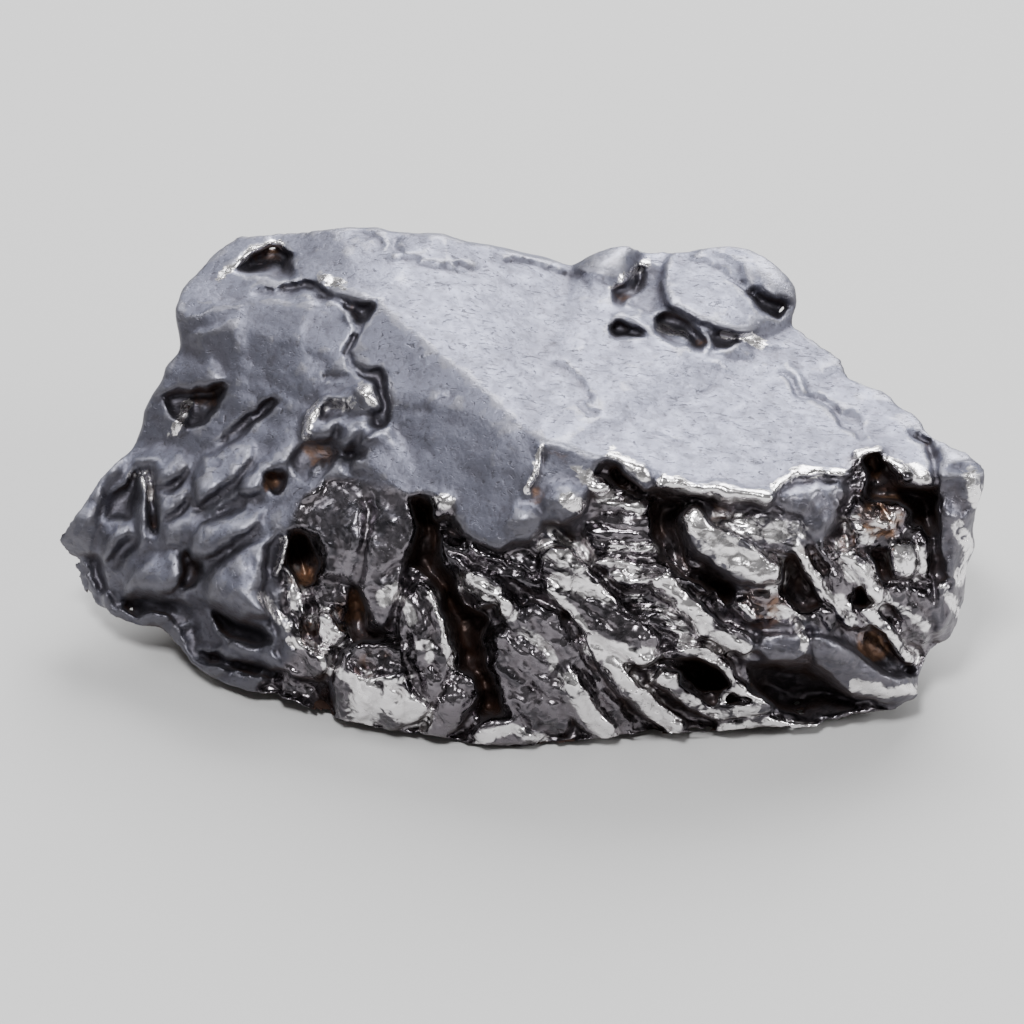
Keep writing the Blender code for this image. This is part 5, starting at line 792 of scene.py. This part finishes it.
def groove(relief, spots, points, depth, width):
    """Cut a round-edged groove along a line."""
    return relief - depth * smooth(1.2 - to_line(spots, points) / (width / 2.0))


def ledge(relief, spots, points, raised, reach, dropped, drop_reach):
    """Raise the ground left of a line and drop it right of the line, both fading away from it."""
    nearest = np.full(len(spots), np.inf)
    side = np.zeros(len(spots))
    share = np.zeros(len(spots))
    lengths = [np.hypot(b[0] - a[0], b[1] - a[1]) for a, b in zip(points, points[1:])]
    done = 0.0
    for start, end, length in zip(points, points[1:], lengths):
        distance = to_segment(spots, start, end)
        offset = spots - np.array(start)
        along = np.array(end) - np.array(start)
        closer = distance < nearest
        nearest = np.where(closer, distance, nearest)
        cross = offset[:, 0] * along[1] - offset[:, 1] * along[0]
        side = np.where(closer, np.sign(cross), side)
        place = np.clip(offset @ along / length, 0.0, length)
        share = np.where(closer, (done + place) / sum(lengths), share)
        done += length
    off = side * nearest / PX_PER_MM
    taper = smooth(share / STEP_FADE) * smooth((1.0 - share) / STEP_FADE)
    up = raised * np.exp(-np.maximum(off, 0.0) / reach)
    down = dropped * np.exp(np.minimum(off, 0.0) / drop_reach)
    step = smooth(off / STEP_WIDTH + 0.5)
    return relief + taper * (step * up - (1.0 - step) * down)


KINDS = {"swell": swell, "sink": sink, "mass": mass, "strand": strand, "groove": groove, "ledge": ledge}


def shape_relief(spots, tables):
    """Return the height of the relief toward the eye at every spot of the picture."""
    relief = np.zeros(len(spots))
    for kind, sizes, points in (feature for table in tables for feature in table.values()):
        low, high = np.min(points, axis=0) - FEATURE_REACH, np.max(points, axis=0) + FEATURE_REACH
        near = np.all((spots > low) & (spots < high), axis=1)
        relief[near] = KINDS[kind](relief[near], spots[near], points, *sizes)
    return relief


def scattered(first, second, seed):
    """Return a fixed number from 0 to 1 for each pair of whole numbers."""
    value = np.sin(first * 12.9898 + second * 78.233 + seed * 37.719) * 43758.5453
    return value - np.floor(value)


def bowls(across, down):
    """Return the height of leaning bowls with sharp rims, about one unit wide; less it makes lumps."""
    cell_across, cell_down = np.floor(across), np.floor(down)
    low = np.full(len(across), np.inf)
    for step_across in (-1.0, 0.0, 1.0):
        for step_down in (-1.0, 0.0, 1.0):
            first, second = cell_across + step_across, cell_down + step_down
            right = across - first - scattered(first, second, 1.0)
            below = down - second - scattered(first, second, 2.0)
            bowl = (right * right + below * below + 0.5 * scattered(first, second, 3.0)
                    + 0.9 * (scattered(first, second, 4.0) - 0.5) * right
                    + 0.9 * (scattered(first, second, 5.0) - 0.5) * below)
            low = np.minimum(low, bowl)
    return low


def crumpled(spots, levels):
    """Return the height of crumpled metal, summed over its levels."""
    place = spots / PX_PER_MM
    return sum(height * (0.4 - bowls(place[:, 0] / size, place[:, 1] / size)) for size, height in levels)


def torn_grain(spots):
    """Return the height of the crumpled and stretched metal in the torn front."""
    place = spots / PX_PER_MM
    relief = crumpled(spots, CRUMPLE)
    for turn, height, across, along, _, points in FIBRES.values():
        turn = radians(turn)
        forward = (place[:, 0] * cos(turn) + place[:, 1] * sin(turn)) / along
        sideways = (place[:, 1] * cos(turn) - place[:, 0] * sin(turn)) / across
        fibres = 0.55 - bowls(forward, sideways) - 0.4 * bowls(forward * 2.3, sideways * 2.1)
        relief += (height * fibres - 0.85 * relief) * smooth(inside(spots, points) / 1.2 + 0.5)
    return relief


def read_points(mesh):
    """Return a mesh's vertex places as rows."""
    flat = np.empty(len(mesh.vertices) * 3, dtype=np.float32)
    mesh.vertices.foreach_get("co", flat)
    return flat.reshape(-1, 3).astype(float)


def read_normals(mesh):
    """Return a mesh's vertex normals as rows."""
    flat = np.empty(len(mesh.vertices) * 3, dtype=np.float32)
    mesh.vertex_normals.foreach_get("vector", flat)
    return flat.reshape(-1, 3).astype(float)


def write_points(mesh, points):
    """Move a mesh's vertices to new places."""
    mesh.vertices.foreach_set("co", points.astype(np.float32).ravel())
    mesh.update()


def settled(item, kind, **settings):
    """Apply one modifier to an object and keep the mesh that it gives."""
    modifier = item.modifiers.new(kind.title(), kind)
    for name, value in settings.items():
        setattr(modifier, name, value)
    bpy.context.view_layer.update()
    graph = bpy.context.evaluated_depsgraph_get()
    mesh = bpy.data.meshes.new_from_object(item.evaluated_get(graph))
    item.modifiers.clear()
    item.data = mesh


def keep_whole(item):
    """Keep the largest body of an object's mesh, without crumbs that came loose from it."""
    shell = bmesh.new()
    shell.from_mesh(item.data)
    left = set(shell.verts)
    bodies = []
    while left:
        body = {left.pop()}
        rim = set(body)
        while rim:
            rim = {edge.other_vert(vertex) for vertex in rim for edge in vertex.link_edges} & left
            left -= rim
            body |= rim
        bodies.append(body)
    bodies.sort(key=len)
    loose = [vertex for body in bodies[:-1] for vertex in body]
    bmesh.ops.delete(shell, geom=loose, context="VERTS")
    shell.to_mesh(item.data)
    shell.free()


def rough_lump(voxel):
    """Make the lump's plain form: the hull of its named corners, softened."""
    corners = [from_picture(*place) for place in SEEN_CORNERS.values()]
    corners += [np.array(place) for place in HIDDEN_CORNERS.values()]
    shell = bmesh.new()
    for place in corners:
        shell.verts.new(place)
    hull = bmesh.ops.convex_hull(shell, input=shell.verts, use_existing_faces=False)
    spare = [item for item in hull["geom_interior"] + hull["geom_unused"]
             if isinstance(item, bmesh.types.BMVert)]
    bmesh.ops.delete(shell, geom=list(set(spare)), context="VERTS")
    bmesh.ops.recalc_face_normals(shell, faces=shell.faces)
    mesh = bpy.data.meshes.new("meteorite_lump")
    shell.to_mesh(mesh)
    shell.free()
    item = bpy.data.objects.new("meteorite_lump", mesh)
    bpy.context.scene.collection.objects.link(item)
    settled(item, "REMESH", mode="VOXEL", voxel_size=voxel, adaptivity=0.0)
    settled(item, "SMOOTH", factor=0.5, iterations=round(SOFTENING / voxel ** 2))
    return item


def outline_reach(angles):
    """Return how far the outline is from its centre at each angle, in pixels."""
    reach = np.zeros(len(angles))
    centre = np.array(OUTLINE_CENTRE)
    for a, b in zip(OUTLINE, OUTLINE[1:] + OUTLINE[:1]):
        start, side = np.array(a) - centre, np.array(b, dtype=float) - np.array(a)
        cross = np.cos(angles) * side[1] - np.sin(angles) * side[0]
        cross = np.where(np.abs(cross) < 1e-9, 1e-9, cross)
        far = (start[0] * side[1] - start[1] * side[0]) / cross
        along = (start[0] * np.sin(angles) - start[1] * np.cos(angles)) / cross
        reach = np.where((along >= 0.0) & (along <= 1.0) & (far > reach), far, reach)
    return reach


def fit_outline(points):
    """Pull the lump in the picture plane until its edge follows the outline."""
    offsets = to_picture(points) - np.array(OUTLINE_CENTRE)
    far = np.hypot(*offsets.T)
    turn = np.arctan2(offsets[:, 1], offsets[:, 0]) % (2.0 * pi)
    angles = (np.arange(OUTLINE_STEPS) + 0.5) * 2.0 * pi / OUTLINE_STEPS
    edge = np.zeros(OUTLINE_STEPS)
    np.maximum.at(edge, (turn / (2.0 * pi) * OUTLINE_STEPS).astype(int) % OUTLINE_STEPS, far)
    sharp = outline_reach(angles) / edge
    half = CALM_STEPS // 2
    window = np.hanning(CALM_STEPS) / np.hanning(CALM_STEPS).sum()
    calm = np.convolve(np.concatenate((sharp[-half:], sharp, sharp[:half])), window, mode="valid")
    sharp_here, calm_here, edge_here = (np.interp(turn, angles, values, period=2.0 * pi)
                                        for values in (sharp, calm, edge))
    rim = smooth((far / edge_here - RIM_START) / (RIM_END - RIM_START))
    growth = calm_here + (sharp_here - calm_here) * rim
    step = offsets * (growth - 1.0)[:, None]
    scale = ((points - EYE) @ AHEAD) / (SIGHT_DISTANCE * PX_PER_MM)
    return points + (step[:, :1] * RIGHT - step[:, 1:] * UP) * scale[:, None]


def thumbprint(place):
    """Return the depth, from 0 to 1, of the thumbprint hollows at a place."""
    near = noise.voronoi(Vector(place) / THUMBPRINT_SIZE)[0]
    return 1.0 - min(1.0, (near[0] / THUMBPRINT_REACH) ** 2)


def grain(place, size, octaves):
    """Return the height, from -1 to 1, of the metal's uneven grain at a place."""
    return noise.fractal(Vector(place) / size, 0.8, 2.1, octaves)


def toward_eye(points, normals):
    """Return each point's direction to the eye, and how squarely it is seen, from 0 to 1."""
    sight = EYE - points
    sight /= np.linalg.norm(sight, axis=1)[:, None]
    square = np.sum(normals * sight, axis=1)
    return sight, smooth((square - GRAZING) / (SQUARE_ON - GRAZING))


def press_large(mesh):
    """Press the outline, the relief, the swells and the thumbprints into the lump."""
    write_points(mesh, fit_outline(read_points(mesh)))
    points, normals = read_points(mesh), read_normals(mesh)
    sight, seen = toward_eye(points, normals)
    relief = shape_relief(wavered(to_picture(points)), (GROUND, TOP, FLANK, TORN)) * seen
    swells = np.array([grain(place, SWELL_SIZE, 2) for place in points])
    swells *= smooth((1.0 - normals[:, 2]) / STEEP)
    prints = np.array([thumbprint(place) for place in points]) * (1.0 - seen)
    prints *= smooth(points[:, 2] / CLEAR_OF_FOOT)
    floor = np.minimum(points[:, 2], FOOT_CLEARANCE)
    points += sight * relief[:, None]
    points += normals * (SWELL_HEIGHT * swells - THUMBPRINT_DEPTH * prints)[:, None]
    points[:, 2] = np.maximum(points[:, 2], floor)
    write_points(mesh, points)


def press_fine(mesh):
    """Press the torn metal's grain and the skin's small unevenness into the lump."""
    points, normals = read_points(mesh), read_normals(mesh)
    sight, seen = toward_eye(points, normals)
    spots = wavered(to_picture(points))
    torn = smooth(inside(spots, TORN_EDGE) / 0.8 + 0.5) * seen
    flank = smooth(inside(spots, FLANK_SKIN) / 1.5 + 0.5) * (1.0 - torn) * seen
    relief = torn_grain(spots) * torn + crumpled(spots, SKIN_CRUMPLE) * flank
    points += sight * relief[:, None]
    grains = np.array([grain(place, GRAIN_SIZE, 4) for place in points])
    crumbs = np.array([grain(place, 0.8, 3) for place in points])
    points += normals * (GRAIN_HEIGHT * grains * (0.4 + 0.6 * torn) + (0.012 + 0.05 * torn) * crumbs)[:, None]
    write_points(mesh, points)


def neighbours_mean(mesh):
    """Return a function that averages a value over each vertex's neighbours."""
    ends = np.empty(len(mesh.edges) * 2, dtype=np.int32)
    mesh.edges.foreach_get("vertices", ends)
    near, far = ends.reshape(-1, 2).T
    count = np.bincount(ends, minlength=len(mesh.vertices)).astype(float)

    def mean(values):
        total = (np.bincount(near, weights=values[far], minlength=len(count))
                 + np.bincount(far, weights=values[near], minlength=len(count)))
        return total / count
    return mean


def stands_out(mesh, rounds):
    """Return how far each vertex stands out of its smoothed surroundings, in millimetres."""
    mean = neighbours_mean(mesh)
    points = read_points(mesh)
    calm = points.copy()
    for _ in range(rounds):
        calm = np.column_stack([mean(column) for column in calm.T])
    return np.sum((points - calm) * read_normals(mesh), axis=1)


def sky_rays():
    """Return rays spread evenly over the upward half of the sky."""
    turns = [pi * (3.0 - 5.0 ** 0.5) * step for step in range(SKY_RAYS)]
    rises = [1.0 - (step + 0.5) / SKY_RAYS for step in range(SKY_RAYS)]
    return [Vector((cos(turn) * (1.0 - up * up) ** 0.5, sin(turn) * (1.0 - up * up) ** 0.5, up))
            for turn, up in zip(turns, rises)]


def sky_lost(mesh):
    """Return how much of the sky each vertex turns from or lies hidden from, from 0 to 1."""
    tree = BVHTree.FromPolygons([vertex.co for vertex in mesh.vertices],
                                [face.vertices for face in mesh.polygons])
    rays = sky_rays()
    lost = np.ones(len(mesh.vertices))
    for index, vertex in enumerate(mesh.vertices):
        start = vertex.co + vertex.normal * RAY_START
        for ray in rays:
            square = vertex.normal.dot(ray)
            if square > 0.0 and tree.ray_cast(start, ray, SHADE_REACH)[3] is None:
                lost[index] -= 2.0 * square / SKY_RAYS
    mean = neighbours_mean(mesh)
    return (lost + mean(lost)) / 2.0


def store(mesh, name, values):
    """Keep a value for every vertex, for the metal's material to read."""
    layer = mesh.attributes.new(name, "FLOAT", "POINT")
    layer.data.foreach_set("value", values.astype(np.float32))


def mark_metal(mesh):
    """Store where the metal is torn, rusty, or on an edge or in a crease, how much sky it loses for the
    painted shade, and where highlights are painted.
    """
    points, normals = read_points(mesh), read_normals(mesh)
    _, seen = toward_eye(points, normals)
    spots = wavered(to_picture(points))
    torn = smooth(inside(spots, TORN_EDGE) / 0.7 + 0.5) * smooth(seen * 3.0)
    gloss = torn.copy()
    for *_, level, points_round in FIBRES.values():
        gloss += (torn * level - gloss) * smooth(inside(spots, points_round) / 0.8 + 0.5)
    rust = np.zeros(len(points))
    for across, down, reach, strength in RUST:
        far = np.hypot(spots[:, 0] - across, spots[:, 1] - down) / reach
        rust = np.maximum(rust, strength * smooth(1.4 - far))
    shine = np.zeros(len(points))
    for reach, strength, line in PAINTED_HIGHLIGHTS.values():
        shine = np.maximum(shine, strength * smooth(1.5 - to_line(spots, line) / reach))
    close = stands_out(mesh, 4)
    store(mesh, "torn", gloss)
    store(mesh, "rust", rust * smooth(seen * 2.0))
    store(mesh, "shine", shine * smooth(seen * 2.0))
    store(mesh, "shade", sky_lost(mesh))
    store(mesh, "edge", smooth(close / 0.05))
    store(mesh, "crease", smooth(-close / 0.05))


def settle_in_box(mesh):
    """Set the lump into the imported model's box, in metres, and return how it was moved."""
    points = read_points(mesh)
    points[:, 2] = np.maximum(points[:, 2], 0.0)
    low, high = points.min(axis=0), points.max(axis=0)
    cad_low, cad_high = (np.array(corner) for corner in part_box(NODE))
    size = (cad_high[0] - cad_low[0]) / (high[0] - low[0])
    shift = (cad_low + cad_high) / 2.0 - size * (low + high) / 2.0
    shift[2] = 0.0
    write_points(mesh, points * size + shift)
    return size, shift


class Number:
    """A shader socket that does arithmetic as Python does."""

    def __init__(self, shader, socket):
        self.shader = shader
        self.socket = socket

    def __add__(self, other):
        return self.shader.number("ADD", self, other)

    def __sub__(self, other):
        return self.shader.number("SUBTRACT", self, other)

    def __mul__(self, other):
        return self.shader.number("MULTIPLY", self, other)

    def __rsub__(self, other):
        return self.shader.number("SUBTRACT", other, self)

    __radd__ = __add__
    __rmul__ = __mul__

    def __or__(self, other):
        return self.shader.number("MAXIMUM", self, other)

    def rise(self, low, high):
        """Rise smoothly from 0 at low to 1 at high."""
        node = self.shader.node("ShaderNodeMapRange", {"interpolation_type": "SMOOTHSTEP"},
                                {"Value": self, "From Min": low, "From Max": high})
        return Number(self.shader, node.outputs["Result"])


class Shader:
    """A material's node tree, built from expressions."""

    def __init__(self, name):
        self.material = bpy.data.materials.new(name)
        self.material.use_nodes = True
        self.tree = self.material.node_tree
        self.surface = self.tree.nodes["Principled BSDF"]

    def node(self, kind, settings, sockets):
        """Add a node, with its settings first and then its sockets' values or links."""
        node = self.tree.nodes.new(kind)
        for name, value in settings.items():
            if name == "stops":
                self.set_stops(node.color_ramp, value)
            else:
                setattr(node, name, value)
        self.feed(node, sockets)
        return node

    def feed(self, node, sockets):
        """Set or link a node's input sockets, by name or by place."""
        for name, value in sockets.items():
            if isinstance(value, Number):
                value = value.socket
            if isinstance(value, bpy.types.NodeSocket):
                self.tree.links.new(value, node.inputs[name])
            else:
                node.inputs[name].default_value = value

    def set_stops(self, ramp, stops):
        """Give a colour ramp its stops."""
        while len(ramp.elements) < len(stops):
            ramp.elements.new(1.0)
        for element, (place, colour) in zip(ramp.elements, stops):
            element.position = place
            element.color = colour

    def number(self, operation, first, second):
        """Add a Math node and return its result."""
        node = self.node("ShaderNodeMath", {"operation": operation}, {0: first, 1: second})
        return Number(self, node.outputs[0])

    def mark(self, name):
        """Return a value that the mesh stores for every vertex."""
        node = self.node("ShaderNodeAttribute", {"attribute_name": name}, {})
        return Number(self, node.outputs["Fac"])

    def blend(self, factor, first, second):
        """Mix two colours."""
        node = self.node("ShaderNodeMix", {"data_type": "RGBA"}, {0: factor, 6: first, 7: second})
        return node.outputs[2]

    def stretched(self, scale):
        """Return the place on the lump in millimetres, scaled along each axis."""
        place = self.node("ShaderNodeTexCoord", {}, {}).outputs["Object"]
        factors = tuple(factor / MM for factor in scale)
        node = self.node("ShaderNodeVectorMath", {"operation": "MULTIPLY"}, {0: place, 1: factors})
        return node.outputs[0]

    def speckle(self, scale, detail=4.0, distortion=0.0):
        """Return soft noise, from 0 to 1, with its scale per millimetre along each axis."""
        node = self.node("ShaderNodeTexNoise", {}, {"Vector": self.stretched(scale), "Scale": 1.0,
                                                    "Detail": detail, "Distortion": distortion})
        return Number(self, node.outputs["Fac"])

    def vector(self, operation, first, second):
        """Add a Vector Math node and return it."""
        return self.node("ShaderNodeVectorMath", {"operation": operation}, {0: first, 1: second})

    def facets(self, scale):
        """Return the height and the tone of small facets that each lean their own way."""
        stir = self.node("ShaderNodeTexNoise", {}, {"Vector": self.stretched((1.1, 1.1, 1.1)), "Scale": 1.0,
                                                    "Detail": 1.0})
        place = self.vector("ADD", self.stretched(scale), stir.outputs["Color"]).outputs[0]
        cell = self.node("ShaderNodeTexVoronoi", {"feature": "F1"}, {"Vector": place, "Scale": 1.0})
        offset = self.vector("SUBTRACT", place, cell.outputs["Position"])
        lean = self.vector("SUBTRACT", cell.outputs["Color"], (0.5, 0.5, 0.5))
        across = self.vector("DOT_PRODUCT", offset.outputs[0], lean.outputs[0])
        tone = self.node("ShaderNodeSeparateColor", {}, {"Color": cell.outputs["Color"]})
        return Number(self, across.outputs["Value"]), Number(self, tone.outputs["Red"])


def opaque(colour):
    """Return a colour with full alpha."""
    return tuple(colour) + (1.0,)


def nickel_iron(finish):
    """Make the metal: satin scratched skin, glossy torn metal, dark oxide in hollows, and painted shade,
    highlights and sheen.
    """
    shader = Shader("nickel iron")
    torn, shade, rust, shine, edge, crease = (
        shader.mark(name) for name in ("torn", "shade", "rust", "shine", "edge", "crease"))
    cloud = shader.speckle((0.16, 0.16, 0.16), 6.0, 0.5)
    mottle = shader.speckle((0.9, 0.9, 0.9), 6.0, 0.6)
    patches = shader.speckle((1.7, 1.7, 1.7), 5.0, 0.8)
    flecks = shader.speckle((2.8, 2.8, 2.8), 4.0)
    marks = shader.speckle((0.7, 1.7, 1.7), 3.0, 2.5)
    dark_metal_and_painted_shade = opaque(finish.shade)
    skin = shader.blend((cloud * 0.5 + mottle * 0.5).rise(0.36, 0.64) * 0.30, opaque(finish.skin), dark_metal_and_painted_shade)
    skin = shader.blend(patches.rise(0.50, 0.66) * 0.30, skin, dark_metal_and_painted_shade)
    skin = shader.blend((1.0 - marks.rise(0.28, 0.36)) * 0.6, skin, dark_metal_and_painted_shade)
    skin = shader.blend((1.0 - flecks.rise(0.30, 0.40)) * 0.5, skin, dark_metal_and_painted_shade)
    # Convex edges lightened toward the bright metal: painted sheen
    skin = shader.blend((edge + mottle * 0.6 - 0.3).rise(0.60, 1.20) * 0.16, skin, opaque(finish.painted_sheen))
    # Faces turned from the sky or hidden from it darkened: painted shade
    skin = shader.blend(shade.rise(0.07, 0.40) * 0.74, skin, dark_metal_and_painted_shade)
    broad, broad_tone = shader.facets((0.45, 0.55, 0.5))
    ripple = shader.speckle((1.0, 1.5, 1.2), 3.0, 1.2)
    # Tone of the torn metal: random noise, and facet cells standing in for facets that catch light
    # differently, a painted reflection
    gleam = ripple * 0.85 + broad_tone * 0.2
    ripped = shader.blend(1.0 - gleam.rise(0.36, 0.62), opaque(finish.torn), dark_metal_and_painted_shade)
    colour = shader.blend(torn, skin, ripped)
    # Bright metal laid along the listed lines and broken up by the tone: painted highlights
    painted_sheen = (shine + (gleam - 0.5) * 3.0 - 0.12).rise(0.0, 0.6) * shine.rise(0.03, 0.35)
    colour = shader.blend(painted_sheen, colour, opaque(finish.painted_sheen))
    # Hollows, undersides and creases go toward the dark oxide: real oxide in the hollows, painted shade where
    # the sky is lost
    sheltered_oxide_and_shade = (shade + mottle * 0.16).rise(0.74, 1.08)
    oxide_and_painted_shade = sheltered_oxide_and_shade | (crease * 0.16)
    colour = shader.blend(oxide_and_painted_shade, colour, opaque(finish.oxide))
    stain = (rust * 1.2 + mottle * 1.2 - 0.75).rise(0.25, 0.75) * (1.0 - edge * 0.7)
    colour = shader.blend(stain * 0.8, colour, opaque(finish.rust))
    rough = (finish.skin_roughness - torn * (finish.skin_roughness - finish.torn_roughness)
             + (mottle - 0.5) * 0.30 + sheltered_oxide_and_shade * 0.15 - edge * 0.06 - painted_sheen * (1.0 - torn) * 0.28)
    scratched = mottle * 0.3 + flecks * 0.35 - patches * 0.25 + marks.rise(0.27, 0.40) * 0.5
    height = scratched * (1.0 - torn * 0.9) + broad * torn * 4.0
    bump = shader.node("ShaderNodeBump", {}, {"Strength": 0.5, "Distance": 0.20 * MM, "Height": height})
    shader.feed(shader.surface, {"Base Color": colour, "Roughness": rough, "Metallic": 1.0 - sheltered_oxide_and_shade * 0.5,
                                 "Normal": bump.outputs["Normal"]})
    return shader.material


def pale_floor(colour):
    """Make the plain pale floor's material."""
    shader = Shader("pale floor")
    shader.feed(shader.surface, {"Base Color": opaque(colour), "Roughness": 0.9})
    return shader.material


class MeteoriteForm(bpy.types.PropertyGroup):
    """Sizes of the lump's mesh."""

    rough_voxel: FloatProperty(name="Rough voxel", description="Grid of the plain form, in millimetres",
                               default=0.25, min=0.1, max=2.0)
    fine_voxel: FloatProperty(name="Fine voxel", description="Grid of the finished form, in millimetres",
                              default=0.20, min=0.1, max=2.0)
    triangles: IntProperty(name="Triangles", description="Triangles in the finished lump",
                           default=190000, min=1000, max=199000)


class MeteoriteFinish(bpy.types.PropertyGroup):
    """Colours and gloss of the metal."""

    skin: FloatVectorProperty(name="Skin", description="Satin metal of the skin facets",
                              subtype="COLOR", default=(0.278, 0.287, 0.372))
    # This dark colour also paints the shade on faces turned from the sky
    shade: FloatVectorProperty(name="Shade", description="Darker clouds and scratches in the metal",
                               subtype="COLOR", default=(0.075, 0.07, 0.078))
    torn: FloatVectorProperty(name="Torn metal", description="Bright metal of the torn front",
                              subtype="COLOR", default=(0.214, 0.195, 0.214))
    # This bright colour paints the highlights and the sheen on edges
    painted_sheen: FloatVectorProperty(name="Worn metal", description="Bright worn edges and faces",
                              subtype="COLOR", default=(0.98, 0.95, 0.96))
    # This dark colour is also the painted shade in hollows, undersides and creases
    oxide: FloatVectorProperty(name="Oxide", description="Dark skin in the hollows",
                               subtype="COLOR", default=(0.040, 0.019, 0.013))
    rust: FloatVectorProperty(name="Rust", description="Brown in the hollows",
                              subtype="COLOR", default=(0.22, 0.12, 0.07))
    skin_roughness: FloatProperty(name="Skin roughness", description="Roughness of the skin facets",
                                  subtype="FACTOR", default=0.55, min=0.0, max=1.0)
    torn_roughness: FloatProperty(name="Torn roughness", description="Roughness of the torn metal",
                                  subtype="FACTOR", default=0.27, min=0.0, max=1.0)


class StudioSettings(bpy.types.PropertyGroup):
    """Floor, lights and camera."""

    floor_size: FloatProperty(name="Floor size", description="Side of the floor", subtype="DISTANCE",
                              unit="LENGTH", default=4.0)
    floor_colour: FloatVectorProperty(name="Floor", description="Colour of the floor", subtype="COLOR",
                                      default=(0.62, 0.62, 0.62))
    key_power: FloatProperty(name="Key light", description="Power of the soft light behind and above",
                             subtype="POWER", default=4.2)
    side_power: FloatProperty(name="Side light", description="Power of the soft light on the right",
                              subtype="POWER", default=1.0)
    left_power: FloatProperty(name="Left light", description="Power of the soft light on the left",
                              subtype="POWER", default=0.6)
    glint_power: FloatProperty(name="Glint light", description="Power of the small soft light above the front",
                               subtype="POWER", default=2.1)
    sky: FloatProperty(name="Sky", description="Strength of the even light all round", default=0.17)


class METEORITE_OT_lump(bpy.types.Operator):
    """Shape the meteorite and give it its metal"""

    bl_idname = "meteorite.lump"
    bl_label = "Make the meteorite"

    def execute(self, context):
        form = context.scene.meteorite_form
        item = rough_lump(form.rough_voxel)
        press_large(item.data)
        settled(item, "REMESH", mode="VOXEL", voxel_size=form.fine_voxel, adaptivity=0.0)
        keep_whole(item)
        settled(item, "SMOOTH", factor=0.5, iterations=1)
        press_fine(item.data)
        settled(item, "DECIMATE", decimate_type="COLLAPSE",
                ratio=min(1.0, form.triangles / (2.0 * len(item.data.polygons))))
        mark_metal(item.data)
        size, shift = settle_in_box(item.data)
        item.data.shade_smooth()
        item.data.materials.clear()
        item.data.materials.append(nickel_iron(context.scene.meteorite_finish))
        context.scene["lump_size"] = size
        context.scene["lump_shift"] = list(shift)
        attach(item, "root")
        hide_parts(NODE)
        print("triangles", sum(len(face.vertices) - 2 for face in item.data.polygons))
        return {"FINISHED"}


def soft_light(name, place, side, power):
    """Hang a square soft light that shines at the lump."""
    light = bpy.data.lights.new(name, "AREA")
    light.shape = "SQUARE"
    light.size = side
    light.energy = power
    item = bpy.data.objects.new(name, light)
    item.location = place
    item.rotation_euler = (-Vector(place)).to_track_quat("-Z", "Y").to_euler()
    bpy.context.scene.collection.objects.link(item)


class METEORITE_OT_stage(bpy.types.Operator):
    """Lay the floor, hang the lights and set the camera"""

    bl_idname = "meteorite.stage"
    bl_label = "Make the stage"

    def execute(self, context):
        studio = context.scene.meteorite_studio
        bpy.ops.mesh.primitive_plane_add(size=studio.floor_size)
        floor = context.object
        floor.name = "floor"
        floor.data.materials.append(pale_floor(studio.floor_colour))
        soft_light("key light", (0.10, 0.34, 0.38), 0.34, studio.key_power)
        soft_light("side light", (0.42, -0.12, 0.20), 0.12, studio.side_power)
        soft_light("left light", (-0.36, 0.14, 0.34), 0.20, studio.left_power)
        soft_light("glint light", (-0.06, -0.24, 0.44), 0.10, studio.glint_power)
        world = bpy.data.worlds.new("studio")
        world.use_nodes = True
        background = world.node_tree.nodes["Background"]
        background.inputs["Color"].default_value = (1.0, 1.0, 1.0, 1.0)
        background.inputs["Strength"].default_value = studio.sky
        context.scene.world = world
        size, shift = context.scene["lump_size"], Vector(context.scene["lump_shift"])
        lens = bpy.data.cameras.new("camera")
        lens.sensor_width = 36.0
        lens.lens = SIGHT_DISTANCE * PX_PER_MM * lens.sensor_width / (2.0 * PICTURE_CENTRE)
        lens.clip_start = 0.01
        camera = bpy.data.objects.new("camera", lens)
        camera.location = Vector(EYE) * size + shift
        camera.rotation_euler = (pi / 2.0 - SIGHT_DOWN, 0.0, 0.0)
        context.scene.collection.objects.link(camera)
        context.scene.camera = camera
        return {"FINISHED"}


class METEORITE_PT_panel(bpy.types.Panel):
    """The meteorite's settings and the buttons that make it"""

    bl_label = "Meteorite"
    bl_space_type = "VIEW_3D"
    bl_region_type = "UI"
    bl_category = "Meteorite"

    def draw(self, context):
        for group in (context.scene.meteorite_form, context.scene.meteorite_finish,
                      context.scene.meteorite_studio):
            for name in group.__annotations__:
                self.layout.prop(group, name)
        self.layout.operator(METEORITE_OT_lump.bl_idname)
        self.layout.operator(METEORITE_OT_stage.bl_idname)


CLASSES = (MeteoriteForm, MeteoriteFinish, StudioSettings, METEORITE_OT_lump, METEORITE_OT_stage,
           METEORITE_PT_panel)


def register():
    """Add the classes and the scene's settings."""
    for item in CLASSES:
        bpy.utils.register_class(item)
    bpy.types.Scene.meteorite_form = PointerProperty(type=MeteoriteForm)
    bpy.types.Scene.meteorite_finish = PointerProperty(type=MeteoriteFinish)
    bpy.types.Scene.meteorite_studio = PointerProperty(type=StudioSettings)


def unregister():
    """Take the scene's settings and the classes away."""
    del bpy.types.Scene.meteorite_studio
    del bpy.types.Scene.meteorite_finish
    del bpy.types.Scene.meteorite_form
    for item in reversed(CLASSES):
        bpy.utils.unregister_class(item)


def main():
    """Make the lump and its stage."""
    register()
    bpy.ops.meteorite.lump()
    bpy.ops.meteorite.stage()
    bpy.context.view_layer.update()


if __name__ == "__main__":
    main()
